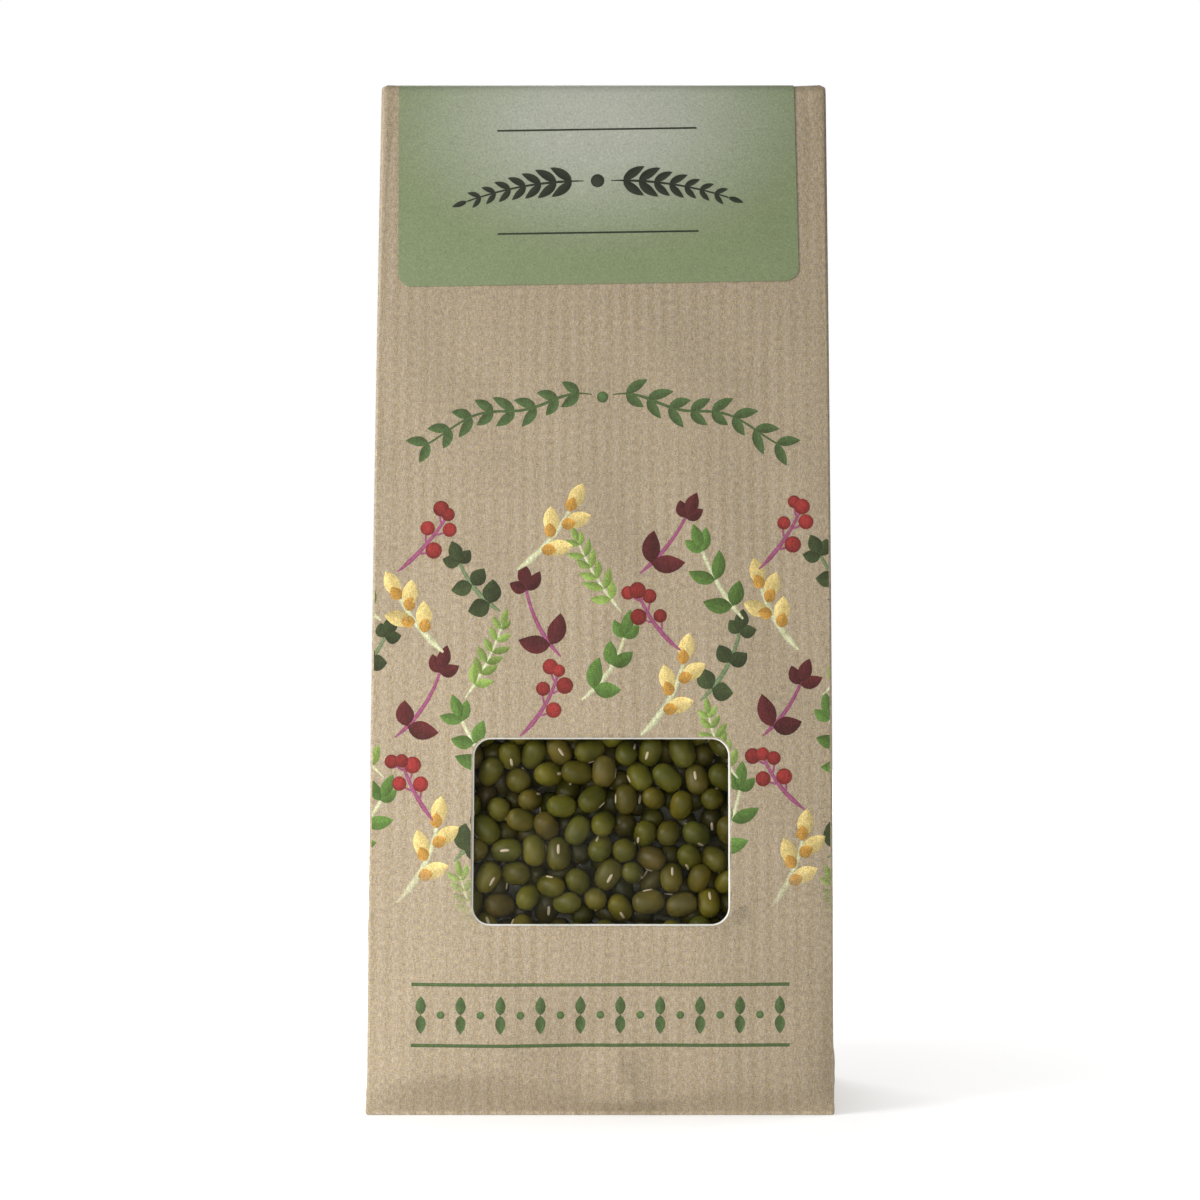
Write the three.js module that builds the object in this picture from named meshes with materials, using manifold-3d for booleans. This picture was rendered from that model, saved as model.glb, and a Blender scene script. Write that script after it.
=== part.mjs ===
// A block-bottom kraft paper packet of dry mung beans: a gusseted paper bag that stands on its flat base,
// its mouth folded to the back and held by a label over the top fold, with a clear film window in front.
// Millimetres, +Z up, the front faces -Y, and the origin is the middle of the base.
import * as THREE from "three";
import { LoftGeometry } from "three/addons/geometries/LoftGeometry.js";
import { mergeVertices } from "three/addons/utils/BufferGeometryUtils.js";
import Module from "manifold-3d";

const wasm = await Module();
wasm.setup();

// Bag
const WIDTH = 72; // front panel, fold to fold
const DEPTH = 40; // side gusset, fold to fold
const HEIGHT = 162; // base to top fold
const PAPER = 0.4; // lined paper wall
const BASE = 1.2; // folded and glued layers of the base
const FLARE = 0.25; // how far each side stands out at the base crease
const FLARE_HEIGHT = 6;
const TOP_HALF_DEPTH = 0.8; // half the layers pressed together at the top
const TAPER = 1.5; // power of the height by which the front and back close on each other
const LEAN = 3.5; // how far back the top fold sits
const BULGE = 2.2; // front and back panels, pushed out by the beans
const BULGE_TOP = 110; // height where the bulge has died away
const BULGE_SKEW = 0.6; // under 1 puts the bulge's peak below its middle
const GUSSET_BULGE = 0.8;
const GUSSET_FREE_LOW = -10; // the beans hold the gusset out between these heights
const GUSSET_FREE_HIGH = 100;
const CAVITY_TOP = 152;

// Mouth folded down behind the top
const FLAP_DROP = 26;
const FLAP_THICKNESS = 1;
const FLAP_GAP = 0.4;
const FOLD_RADIUS = 1.7;
const FOLD_OVERLAP = 0.5; // how far the fold runs into the bag's top

// Window and its film
const WINDOW = { width: 39.2, height: 28.2, radius: 2.6, middle: 43.4 };
const FILM = 0.25;
const FILM_BORDER = 4; // glued lap behind the paper, all round
const GAP = 0.3; // between pieces that lie on each other

// Label
const LABEL_WIDTH = 63.6;
const LABEL_THICKNESS = 0.25;
const LABEL_FRONT_DROP = 32.8;
const LABEL_BACK_DROP = 38;
const LABEL_RADIUS = 2.2;
const LABEL_SHIFT = -0.85; // off the bag's middle
const LABEL_TILT = THREE.MathUtils.degToRad(0.9);
const LABEL_STEP = 3; // height over which it comes down from the flap to the back panel

// Beans
const BEAN = { length: 5.1, width: 3.8, thickness: 3.65 };
const BEAN_SPREAD = 0.08; // size difference either way
const FILL_HEIGHT = 64;
const FILL_CLEAR = PAPER + GAP + FILM + GAP; // from the bag's outside to the foremost beans
const CORE_INSET = FILL_CLEAR + 3; // the packed beans behind the outer layer
const BEAN_PITCH = { x: 4.6, z: 3.95, stagger: 0.25, jitter: 0.7 }; // rows behind the window
const BEAN_SINK = 0.9; // furthest that a bean of the outer layer lies back
const HIDDEN_PITCH = 9.5; // wider rows where the paper covers the beans
const HIDDEN_JITTER = 1;
const BEAN_ROOT = 0.3; // how far a hidden bean's middle stands out of the core
const BEAN_SEED = 20611;

// Facets
const PANEL_STEPS = 12;
const BAG_LEVELS = 17;
const CORE_LEVELS = 8;
const WINDOW_BEAN_SIDES = [7, 4];
const HIDDEN_BEAN_SIDES = [6, 3];
const ARC_STEPS = 6;
const MERGE_DISTANCE = 1e-4;

const FACING_X = new THREE.Matrix4().makeBasis(
  new THREE.Vector3(0, 1, 0),
  new THREE.Vector3(0, 0, 1),
  new THREE.Vector3(1, 0, 0),
);
const FACING_FRONT = new THREE.Matrix4().makeBasis(
  new THREE.Vector3(1, 0, 0),
  new THREE.Vector3(0, 0, 1),
  new THREE.Vector3(0, -1, 0),
);

// Form of the bag at a height
const middleY = (z) => LEAN * (z / HEIGHT) ** 2;
const halfWidth = (z) => WIDTH / 2 - FLARE * Math.min(z / FLARE_HEIGHT, 1);

function halfDepth(z) {
  return TOP_HALF_DEPTH + (DEPTH / 2 - TOP_HALF_DEPTH) * (1 - (z / HEIGHT) ** TAPER);
}

function swell(z) {
  return Math.sin(Math.PI * Math.min(z / BULGE_TOP, 1) ** BULGE_SKEW) ** 2;
}

// The gusset's middle crease sinks in as the paper of its two halves allows, less what the beans hold out.
function gussetDepth(z) {
  const slack = Math.sqrt(Math.max((DEPTH / 2) ** 2 - halfDepth(z) ** 2, 0));
  return slack * THREE.MathUtils.smoothstep(z, GUSSET_FREE_LOW, GUSSET_FREE_HIGH);
}

const panelBulge = (x, z) => BULGE * swell(z) * (1 - (x / halfWidth(z)) ** 2);
const frontY = (x, z) => middleY(z) - halfDepth(z) - panelBulge(x, z);
const backY = (z) => middleY(z) + halfDepth(z);

// Half of the bag's outline at a height, inset from the paper's outside: the front panel's points from left
// to right, then the right gusset's half facet and crease.
function section(z, inset) {
  const half = halfDepth(z);
  const gusset = gussetDepth(z);
  const foldAngle = Math.atan2(half, gusset);
  const cornerX = halfWidth(z) - inset / Math.tan(foldAngle / 2);
  const creaseX = halfWidth(z) - gusset - inset / Math.sin(foldAngle);
  const panel = [];
  for (let step = 0; step <= PANEL_STEPS; step++) {
    const x = cornerX * ((2 * step) / PANEL_STEPS - 1);
    panel.push([x, -half - panelBulge(x, z) + inset]);
  }
  panel[0][1] = panel[PANEL_STEPS][1] = inset - half;
  const facet = [(cornerX + creaseX) / 2 + GUSSET_BULGE * swell(z), (inset - half) / 2];
  return { panel, facet, crease: [creaseX, 0] };
}

// The whole outline at a height, anticlockwise from above
function ring(z, inset = 0) {
  const { panel, facet, crease } = section(z, inset);
  const right = [facet, crease, [facet[0], -facet[1]]];
  const half = [...panel, ...right];
  const turned = half.map(([x, y]) => [-x, -y]);
  return [...half, ...turned].map(([x, y]) => new THREE.Vector3(x, y + middleY(z), z));
}

function levels(low, high, count) {
  return Array.from({ length: count }, (_, i) => low + ((high - low) * i) / (count - 1));
}

function loft(low, high, count, inset) {
  const rings = levels(low, high, count).map((z) => ring(z, inset));
  return new LoftGeometry(rings, { capStart: true, capEnd: true });
}

// Solids for joining and cutting
function solid(geometry) {
  const bare = new THREE.BufferGeometry().setAttribute("position", geometry.getAttribute("position"));
  bare.setIndex(geometry.index);
  const merged = mergeVertices(bare, MERGE_DISTANCE);
  const kept = [];
  const index = merged.index.array;
  for (let i = 0; i < index.length; i += 3) {
    const [a, b, c] = index.slice(i, i + 3);
    if (a !== b && b !== c && a !== c) kept.push(a, b, c);
  }
  const vertProperties = merged.getAttribute("position").array;
  return new wasm.Manifold(new wasm.Mesh({ numProp: 3, vertProperties, triVerts: new Uint32Array(kept) }));
}

function piece(name, manifold, material) {
  const made = manifold.getMesh();
  const geometry = new THREE.BufferGeometry();
  geometry.setAttribute("position", new THREE.BufferAttribute(made.vertProperties, 3));
  geometry.setIndex(new THREE.BufferAttribute(made.triVerts, 1));
  geometry.computeVertexNormals();
  const mesh = new THREE.Mesh(geometry, material);
  mesh.name = name;
  return mesh;
}

function extruded(shape, depth) {
  return new THREE.ExtrudeGeometry(shape, { depth, bevelEnabled: false, curveSegments: ARC_STEPS });
}

// An outline in Y and Z, drawn out along X about the middle
function acrossX(shape, width) {
  const geometry = extruded(shape, width);
  return solid(geometry.translate(0, 0, -width / 2).applyMatrix4(FACING_X));
}

// An outline in X and Z, drawn out from one Y to another
function alongY(shape, fromY, toY) {
  const geometry = extruded(shape, toY - fromY);
  return solid(geometry.translate(0, 0, -toY).applyMatrix4(FACING_FRONT));
}

function roundedRectangle(left, right, low, high, radius) {
  const shape = new THREE.Shape();
  shape.moveTo(left + radius, low);
  shape.absarc(right - radius, low + radius, radius, -Math.PI / 2, 0);
  shape.absarc(right - radius, high - radius, radius, 0, Math.PI / 2);
  shape.absarc(left + radius, high - radius, radius, Math.PI / 2, Math.PI);
  shape.absarc(left + radius, low + radius, radius, Math.PI, 1.5 * Math.PI);
  return shape;
}

// The folded mouth, as a strip that goes over the top and down the back
const foldLow = HEIGHT - FOLD_RADIUS;
const flapLow = HEIGHT - FLAP_DROP;
const flapY = (z) => backY(z) + FLAP_GAP + FLAP_THICKNESS;

function foldArc(shape, grow) {
  const front = frontY(0, foldLow) - grow;
  const back = flapY(foldLow) + grow;
  shape.absellipse((front + back) / 2, foldLow, (back - front) / 2, FOLD_RADIUS + grow, Math.PI, 0, true);
}

function foldedMouth() {
  const shape = new THREE.Shape();
  shape.moveTo(frontY(0, foldLow), foldLow - FOLD_OVERLAP);
  foldArc(shape, 0);
  const drops = levels(foldLow, flapLow, 4);
  drops.forEach((z) => shape.lineTo(flapY(z), z));
  drops.reverse().forEach((z) => shape.lineTo(backY(z) + FLAP_GAP, z));
  shape.lineTo(backY(foldLow) + FLAP_GAP, foldLow - FOLD_OVERLAP);
  shape.closePath();
  return acrossX(shape, 2 * halfWidth(HEIGHT));
}

function windowHole() {
  const { width, height, radius, middle } = WINDOW;
  const outline = roundedRectangle(-width / 2, width / 2, middle - height / 2, middle + height / 2, radius);
  return alongY(outline, -DEPTH, 0);
}

function paperBag() {
  const outside = solid(loft(0, foldLow, BAG_LEVELS, 0));
  const inside = solid(loft(BASE, CAVITY_TOP, BAG_LEVELS, PAPER));
  return outside.add(foldedMouth()).subtract(inside).subtract(windowHole());
}

// The film follows the front panel's curve, lapped behind the window's edges.
function windowFilm() {
  const { width, height, middle } = WINDOW;
  const reach = width / 2 + FILM_BORDER;
  const rows = levels(middle - height / 2 - FILM_BORDER, middle + height / 2 + FILM_BORDER, CORE_LEVELS);
  const front = PAPER + GAP;
  const sections = rows.map((z) => {
    const across = levels(-reach, reach, PANEL_STEPS);
    const face = across.map((x) => new THREE.Vector3(x, frontY(x, z) + front, z));
    const rear = across.map((x) => new THREE.Vector3(x, frontY(x, z) + front + FILM, z)).reverse();
    return [...face, ...rear];
  });
  return solid(new LoftGeometry(sections, { capStart: true, capEnd: true }));
}

// One face of the label's strip: up the front, over the fold, down the flap and onto the back panel
function labelFace(lift) {
  const shape = new THREE.Shape();
  const frontLow = HEIGHT - LABEL_FRONT_DROP - LABEL_RADIUS;
  const backLow = HEIGHT - LABEL_BACK_DROP - LABEL_RADIUS;
  levels(frontLow, foldLow, 4).forEach((z, i) => {
    const y = frontY(0, z) - lift;
    if (i) shape.lineTo(y, z);
    else shape.moveTo(y, z);
  });
  foldArc(shape, lift);
  levels(foldLow, flapLow - lift, 4).forEach((z) => shape.lineTo(flapY(z) + lift, z));
  levels(flapLow - LABEL_STEP - lift, backLow, 3).forEach((z) => shape.lineTo(backY(z) + lift, z));
  return shape.getPoints(ARC_STEPS);
}

function labelOutline(low) {
  const shape = roundedRectangle(-LABEL_WIDTH / 2, LABEL_WIDTH / 2, low, HEIGHT + LABEL_WIDTH, LABEL_RADIUS);
  const turned = shape.getPoints(ARC_STEPS).map((p) => {
    return p.rotateAround(new THREE.Vector2(0, HEIGHT), LABEL_TILT).add(new THREE.Vector2(LABEL_SHIFT, 0));
  });
  return new THREE.Shape(turned);
}

function topLabel() {
  const under = labelFace(GAP);
  const over = labelFace(GAP + LABEL_THICKNESS);
  const strip = acrossX(new THREE.Shape([...over, ...under.reverse()]), WIDTH);
  const split = (frontY(0, foldLow) + flapY(foldLow)) / 2;
  const front = alongY(labelOutline(HEIGHT - LABEL_FRONT_DROP), -DEPTH, split);
  const back = alongY(labelOutline(HEIGHT - LABEL_BACK_DROP), split - GAP, DEPTH);
  return strip.intersect(front.add(back));
}

// Beans
function seededDraw(seed) {
  let state = seed;
  return () => {
    state = (state * 16807) % 2147483647;
    return state / 2147483647;
  };
}

const draw = seededDraw(BEAN_SEED);
const around = (spread) => (2 * draw() - 1) * spread;

// Size and turn of one bean, drawn at random
function beanForm() {
  const size = (1 + around(BEAN_SPREAD)) / 2;
  const scale = new THREE.Vector3(BEAN.length, BEAN.width, BEAN.thickness).multiplyScalar(size);
  const turn = new THREE.Euler(around(Math.PI), around(Math.PI), around(Math.PI));
  return new THREE.Matrix4().makeRotationFromEuler(turn).scale(scale);
}

// How far a turned bean reaches along Y from its middle
function reachY(matrix) {
  const e = matrix.elements;
  return Math.hypot(e[1], e[5], e[9]);
}

function beanAt(form, place, sides) {
  const matrix = form.clone().setPosition(place);
  return solid(new THREE.SphereGeometry(1, ...sides).applyMatrix4(matrix));
}

// The outer layer behind the window, in staggered rows against the film
function windowBeans() {
  const { width, height, middle } = WINDOW;
  const across = Math.ceil(width / BEAN_PITCH.x) + 1;
  const up = Math.ceil(height / BEAN_PITCH.z) + 1;
  const beans = [];
  for (let row = 0; row < up; row++) {
    for (let column = 0; column < across; column++) {
      const stagger = row % 2 ? BEAN_PITCH.stagger : -BEAN_PITCH.stagger;
      const x = (column - (across - 1) / 2 + stagger) * BEAN_PITCH.x + around(BEAN_PITCH.jitter);
      const z = middle + (row - (up - 1) / 2) * BEAN_PITCH.z + around(BEAN_PITCH.jitter);
      const form = beanForm();
      const y = frontY(x, z) + FILL_CLEAR + GAP + reachY(form) + BEAN_SINK * draw();
      beans.push(beanAt(form, new THREE.Vector3(x, y, z), WINDOW_BEAN_SIDES));
    }
  }
  return beans;
}

function behindWindow(place) {
  const reach = WINDOW.width / 2 + BEAN.length;
  const rise = WINDOW.height / 2 + BEAN.length;
  return place.y < 0 && Math.abs(place.x) < reach && Math.abs(place.z - WINDOW.middle) < rise;
}

// Beans on the sides and back of the fill, in wider rows
function hiddenBeans() {
  const beans = [];
  const lowest = BASE + GAP + (BEAN.length / 2) * (1 + BEAN_SPREAD);
  const rows = Math.floor((FILL_HEIGHT - lowest) / HIDDEN_PITCH) + 1;
  for (let row = 0; row < rows; row++) {
    const z = lowest + HIDDEN_PITCH * row;
    ring(z, CORE_INSET).forEach((place, i) => {
      if ((i + row) % 2 || behindWindow(place)) return;
      const outward = new THREE.Vector3(place.x, place.y, 0).setLength(BEAN_ROOT);
      beans.push(beanAt(beanForm(), place.add(outward), HIDDEN_BEAN_SIDES));
    });
  }
  return beans;
}

// Beans on the level top of the fill
function topBeans() {
  const beans = [];
  const outline = ring(FILL_HEIGHT, CORE_INSET);
  const reachX = outline[PANEL_STEPS].x;
  const reach = -outline[0].y;
  const across = Math.floor((2 * reachX) / HIDDEN_PITCH);
  const deep = Math.floor((2 * reach) / HIDDEN_PITCH);
  for (let i = 0; i < across; i++) {
    for (let j = 0; j < deep; j++) {
      const x = reachX * ((2 * i + 1) / across - 1);
      const y = reach * ((2 * j + 1) / deep - 1);
      const place = new THREE.Vector3(x, y, FILL_HEIGHT + BEAN_ROOT);
      place.x += around(HIDDEN_JITTER);
      place.y += around(HIDDEN_JITTER);
      beans.push(beanAt(beanForm(), place, HIDDEN_BEAN_SIDES));
    }
  }
  return beans;
}

function beanFill() {
  const core = solid(loft(BASE + GAP, FILL_HEIGHT, CORE_LEVELS, CORE_INSET));
  return wasm.Manifold.union([core, ...windowBeans(), ...hiddenBeans(), ...topBeans()]);
}

const KRAFT = new THREE.MeshStandardMaterial({ color: 0xb8a384, roughness: 0.85, metalness: 0 });
const CLEAR_FILM = new THREE.MeshStandardMaterial({
  color: 0xf4f6f4,
  roughness: 0.12,
  metalness: 0,
  transparent: true,
  opacity: 0.2,
});
const GREEN_LABEL = new THREE.MeshStandardMaterial({ color: 0x93a279, roughness: 0.6, metalness: 0 });
const BEAN_GREEN = new THREE.MeshStandardMaterial({ color: 0x5f5c26, roughness: 0.45, metalness: 0 });

const packet = new THREE.Group();
packet.add(piece("paper_bag", paperBag(), KRAFT));
packet.add(piece("window_film", windowFilm(), CLEAR_FILM));
packet.add(piece("top_label", topLabel(), GREEN_LABEL));
packet.add(piece("mung_beans", beanFill(), BEAN_GREEN));

export default packet;
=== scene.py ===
"""Builds a block-bottom kraft paper packet of dry mung beans, with its print, label and stage."""

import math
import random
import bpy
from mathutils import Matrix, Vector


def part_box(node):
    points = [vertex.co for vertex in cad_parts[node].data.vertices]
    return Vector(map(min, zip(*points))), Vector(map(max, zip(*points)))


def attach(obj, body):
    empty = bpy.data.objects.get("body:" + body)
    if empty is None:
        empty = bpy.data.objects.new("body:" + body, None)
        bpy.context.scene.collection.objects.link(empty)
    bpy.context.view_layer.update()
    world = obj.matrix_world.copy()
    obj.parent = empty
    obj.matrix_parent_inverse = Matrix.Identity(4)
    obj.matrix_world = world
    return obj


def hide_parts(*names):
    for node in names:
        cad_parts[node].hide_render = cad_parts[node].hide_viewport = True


bl_info = {
    "name": "Paper Packet of Beans",
    "version": (1, 0, 0),
    "blender": (4, 5, 0),
    "location": "3D View > Sidebar > Packet",
    "description": "Builds a paper packet with a window onto dry beans, piece by piece",
    "category": "Add Mesh",
}

import bmesh
import bpy
import numpy as np
from bpy.props import FloatProperty, FloatVectorProperty, IntProperty, PointerProperty
from bpy.types import Operator, Panel, PropertyGroup
from mathutils import Vector

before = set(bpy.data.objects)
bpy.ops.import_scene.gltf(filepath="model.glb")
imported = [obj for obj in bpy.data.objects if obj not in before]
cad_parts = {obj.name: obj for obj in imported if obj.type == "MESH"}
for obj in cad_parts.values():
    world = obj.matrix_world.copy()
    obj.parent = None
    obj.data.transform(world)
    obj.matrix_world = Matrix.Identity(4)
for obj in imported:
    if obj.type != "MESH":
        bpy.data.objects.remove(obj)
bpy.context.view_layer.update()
BAG_LOW, BAG_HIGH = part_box("paper_bag")
FILM_LOW, FILM_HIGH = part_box("window_film")

MM = 0.001
BODY = "root"


def length(name, description, default):
    return FloatProperty(name=name, description=description, default=default, unit="LENGTH")


def colour(name, description, default):
    return FloatVectorProperty(name=name, description=description, default=default, subtype="COLOR")


class PacketForm(PropertyGroup):
    """Sizes of the packet"""

    width: length("Width", "Front panel, fold to fold", BAG_HIGH.x - BAG_LOW.x)
    depth: length("Depth", "Side gusset, fold to fold", 40 * MM)
    height: length("Height", "Base to top fold", BAG_HIGH.z)
    paper: length("Paper", "Thickness of the lined paper", 0.22 * MM)
    flare: length("Base flare", "How far each side stands out at the base crease", 0.25 * MM)
    lean: length("Lean", "How far back the top fold sits", 3.5 * MM)
    skew: length("Skew", "How far to the right the top sits", 0.6 * MM)
    bulge: length("Bulge", "How far the beans push out the front and back", 2.2 * MM)
    top_half_depth: length(
        "Top half depth", "Half the thickness of the pressed layers at the top", 0.8 * MM
    )
    fold_radius: length("Fold radius", "Height of the round of the top fold", 1.7 * MM)
    flap_drop: length("Flap drop", "How far down the back the folded mouth reaches", 26 * MM)
    window_width: length("Window width", "Width of the cut window", 39.2 * MM)
    window_height: length("Window height", "Height of the cut window", 28.2 * MM)
    window_middle: length(
        "Window middle", "Height of the window's middle above the base", (FILM_LOW.z + FILM_HIGH.z) / 2
    )
    window_radius: length("Window radius", "Corner radius of the window", 2.6 * MM)
    label_width: length("Label width", "Width of the label across the packet", 63.6 * MM)
    label_front_drop: length(
        "Label front drop", "How far down the front the label reaches", 32.8 * MM
    )
    label_back_drop: length("Label back drop", "How far down the back the label reaches", 38 * MM)
    label_tilt: FloatProperty(
        name="Label tilt",
        description="How far the label is stuck on out of level",
        default=math.radians(0.9),
        subtype="ANGLE",
    )
    label_shift: length("Label shift", "How far right of the middle the label sits", -1.2 * MM)
    bean_length: length("Bean length", "Length of a middling bean", 4.95 * MM)
    bean_width: length("Bean width", "Width of a middling bean", 3.8 * MM)
    bean_thickness: length("Bean thickness", "Thickness of a middling bean", 3.65 * MM)
    fill_height: length("Fill height", "Height of the top of the beans", 64 * MM)
    bean_seed: IntProperty(name="Bean seed", description="Seed of the beans", default=20611)
    print_seed: IntProperty(name="Print seed", description="Seed of the printed sprigs", default=7)


class PacketColours(PropertyGroup):
    """Colours of the packet"""

    kraft: colour("Kraft", "Unbleached paper", (0.388, 0.318, 0.219))
    cut_paper: colour("Cut paper", "White core of the paper, seen at cut edges", (0.72, 0.72, 0.66))
    label_green: colour("Label green", "Label at its edges", (0.225, 0.272, 0.142))
    label_pale: colour("Label pale", "Label at the middle of its glow", (0.44, 0.455, 0.375))
    bean: colour("Bean", "Skin of most beans", (0.091, 0.082, 0.0065))
    bean_brown: colour("Brown bean", "Skin of the older beans", (0.08, 0.058, 0.0125))
    hilum: colour("Hilum", "Pale scar on each bean", (0.5, 0.41, 0.29))


# Form of the bag, in metres, with heights and places as numbers or arrays

TAPER = 1.5
BULGE_TOP = 110 * MM
BULGE_SKEW = 0.6
GUSSET_BULGE = 0.8 * MM
GUSSET_FREE = (-10 * MM, 100 * MM)
FLARE_HEIGHT = 6 * MM
FLAP_THICKNESS = 1 * MM
FLAP_GAP = 0.4 * MM

RIPPLE_FRONT = 0.2 * MM
RIPPLE_HIDDEN = 0.34 * MM
RIPPLE_FADE = (112 * MM, 134 * MM)
BEAD = (0.35 * MM, 1.1 * MM)

# Soft creases near the base of the front, in mm: upper end, lower end, height, reach to left and right
FRONT_CREASES = (
    ((2.8, 7.2), (5.5, 1.7), 1.3, (6, 2.6)),
    ((-29, 18), (-29.5, 8), 0.45, (2.4, 4)),
)
CREASE_END = 3.2
CREASE_ROUND = 0.6
CREASE_FOOT = 3 * MM

# The line in x and z, in mm, below which the front leans in to the base
TUCK_LINE = (
    (-36, 4.7),
    (-25, 6.2),
    (-14.5, 6.8),
    (-8, 5),
    (-2.8, 2.3),
    (4.9, 1.9),
    (8, 2.2),
    (20, 4.2),
    (36, 4.7),
)
TUCK_SLOPE = 0.36
TUCK_REACH = 11 * MM
CORNER_ROUND = 0.6 * MM

# The slanted crease of a gusset: its height and reach, how far in it runs, and where it ends
GUSSET_CREASE = (0.5 * MM, 2.2 * MM)
GUSSET_CREASE_RUN = 20 * MM
GUSSET_CREASE_TOP = 24 * MM
GUSSET_RIPPLE_FADE = (60 * MM, 130 * MM)
RIPPLE_START = 9 * MM


def smooth(value, low, high):
    t = np.clip((value - low) / (high - low), 0, 1)
    return t * t * (3 - 2 * t)


def ripple_waves(seed, count, shortest, longest):
    """Long, low waves in every direction, as lying paper has"""
    draw = random.Random(seed)
    waves = []
    for _ in range(count):
        length = draw.uniform(shortest, longest)
        angle = draw.uniform(0, math.tau)
        turn = 2 * math.pi / length
        waves.append((turn * math.cos(angle), turn * math.sin(angle), draw.uniform(0, math.tau)))
    return waves


PAPER_WAVES = ripple_waves(3, 9, 11 * MM, 42 * MM)


def ripple(across, up):
    total = sum(np.sin(a * across + b * up + c) for a, b, c in PAPER_WAVES)
    return total / math.sqrt(len(PAPER_WAVES))


def crease(across, up, upper, lower, height, reaches):
    """A straight ridge that dies away over its reach on either side and down to the base"""
    x, z = across / MM - upper[0], up / MM - upper[1]
    run, rise = np.subtract(lower, upper)
    length = math.hypot(run, rise)
    along, aside = (x * run + z * rise) / length, (run * z - rise * x) / length
    past = np.maximum(np.maximum(-along, along - length), 0)
    away = np.hypot(aside, CREASE_ROUND) - CREASE_ROUND
    reach = np.where(aside > 0, reaches[1], reaches[0])
    return height * MM * np.exp(-away / reach - (past / CREASE_END) ** 2) * smooth(up, 0, CREASE_FOOT)


def tuck(across, up):
    """How far the front stands out over its base: straight up to the line, then dying away above it"""
    line = np.interp(across, *np.transpose(TUCK_LINE) * MM)
    above = line * np.exp(-np.maximum(up - line, 0) / TUCK_REACH)
    return TUCK_SLOPE * np.where(up < line, up, above)


def middle_y(form, z):
    return form.lean * (z / form.height) ** 2


def half_width(form, z):
    corner = np.clip(1 - z / CORNER_ROUND, 0, 1)
    rounding = CORNER_ROUND * (1 - np.sqrt(1 - corner**2))
    return form.width / 2 - form.flare * np.minimum(z / FLARE_HEIGHT, 1) - rounding


def half_depth(form, z):
    closing = (z / form.height) ** TAPER
    return form.top_half_depth + (form.depth / 2 - form.top_half_depth) * (1 - closing)


def swell(z):
    return np.sin(np.pi * np.minimum(z / BULGE_TOP, 1) ** BULGE_SKEW) ** 2


def gusset_depth(form, z):
    slack = np.sqrt(np.maximum((form.depth / 2) ** 2 - half_depth(form, z) ** 2, 0))
    return slack * smooth(z, *GUSSET_FREE)


def panel_out(form, x, z, front):
    """How far the front or back panel stands from the bag's middle plane"""
    share = np.clip(x / half_width(form, z), -1, 1)
    flat_x = x + form.width / 2 if front else 1.5 * form.width + form.depth - x
    relief = ripple(flat_x, z) * (RIPPLE_FRONT if front else RIPPLE_HIDDEN)
    relief = relief * smooth(z, 0, RIPPLE_START)
    if front:
        relief = relief + tuck(x, z) + sum(crease(x, z, *fold) for fold in FRONT_CREASES)
    relief = relief * (1 - smooth(z, *RIPPLE_FADE)) * (1 - share**12)
    bead = BEAD[0] * np.exp(-z / BEAD[1])
    return half_depth(form, z) + form.bulge * swell(z) * (1 - share**2) + relief + bead


def front_y(form, x, z):
    return middle_y(form, z) - panel_out(form, x, z, True)


def back_y(form, x, z):
    return middle_y(form, z) + panel_out(form, x, z, False)


def skewed(form, points):
    points = np.array(points, dtype=float)
    points[..., 0] += form.skew * points[..., 2] / form.height
    return points


def front_point(form, x, z, lift):
    return skewed(form, np.stack([x, front_y(form, x, z) - lift, z], axis=-1))


def fold_low(form):
    return form.height - form.fold_radius


def fold_ellipse(form):
    """Middle and half depth of the top fold's round"""
    low = fold_low(form)
    front = middle_y(form, low) - half_depth(form, low)
    back = middle_y(form, low) + half_depth(form, low) + FLAP_GAP + FLAP_THICKNESS
    return (front + back) / 2, (back - front) / 2


def fold_arc(form):
    return math.pi * (fold_ellipse(form)[1] + form.fold_radius) / 2


def fold_point(form, angle, lift):
    """A point on the round of the top fold: 0 is in front, pi is behind"""
    middle, reach = fold_ellipse(form)
    y = middle - (reach + lift) * np.cos(angle)
    z = fold_low(form) + (form.fold_radius + lift) * np.sin(angle)
    return y, z


def flap_y(form, z):
    return middle_y(form, z) + half_depth(form, z) + FLAP_GAP + FLAP_THICKNESS


# Meshes

RIM_ANGLE = math.radians(50)


def grid_faces(rows, columns, closed=False):
    across = columns if closed else columns - 1
    row, column = np.meshgrid(np.arange(rows - 1), np.arange(across), indexing="ij")
    a = row * columns + column
    b = row * columns + (column + 1) % columns
    return np.stack([a, b, b + columns, a + columns], axis=-1).reshape(-1, 4)


def new_piece(name, points, faces, materials, smooth_shade=True):
    mesh = bpy.data.meshes.new(name)
    mesh.from_pydata(np.asarray(points).reshape(-1, 3).tolist(), [], [list(map(int, f)) for f in faces])
    mesh.update()
    for material in materials:
        mesh.materials.append(material)
    if smooth_shade:
        mesh.shade_smooth()
    piece = bpy.data.objects.new(name, mesh)
    bpy.context.collection.objects.link(piece)
    return piece


def set_flat_uv(mesh, flat):
    """Stores where each point lies on the unfolded sheet, in metres"""
    layer = mesh.uv_layers.new(name="Flat")
    corners = np.empty(len(mesh.loops), dtype=np.int32)
    mesh.loops.foreach_get("vertex_index", corners)
    layer.data.foreach_set("uv", np.asarray(flat, dtype=np.float32)[corners].ravel())


def set_value(mesh, name, values):
    layer = mesh.attributes.new(name, "FLOAT", "POINT")
    layer.data.foreach_set("value", np.asarray(values, dtype=np.float32).ravel())


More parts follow.
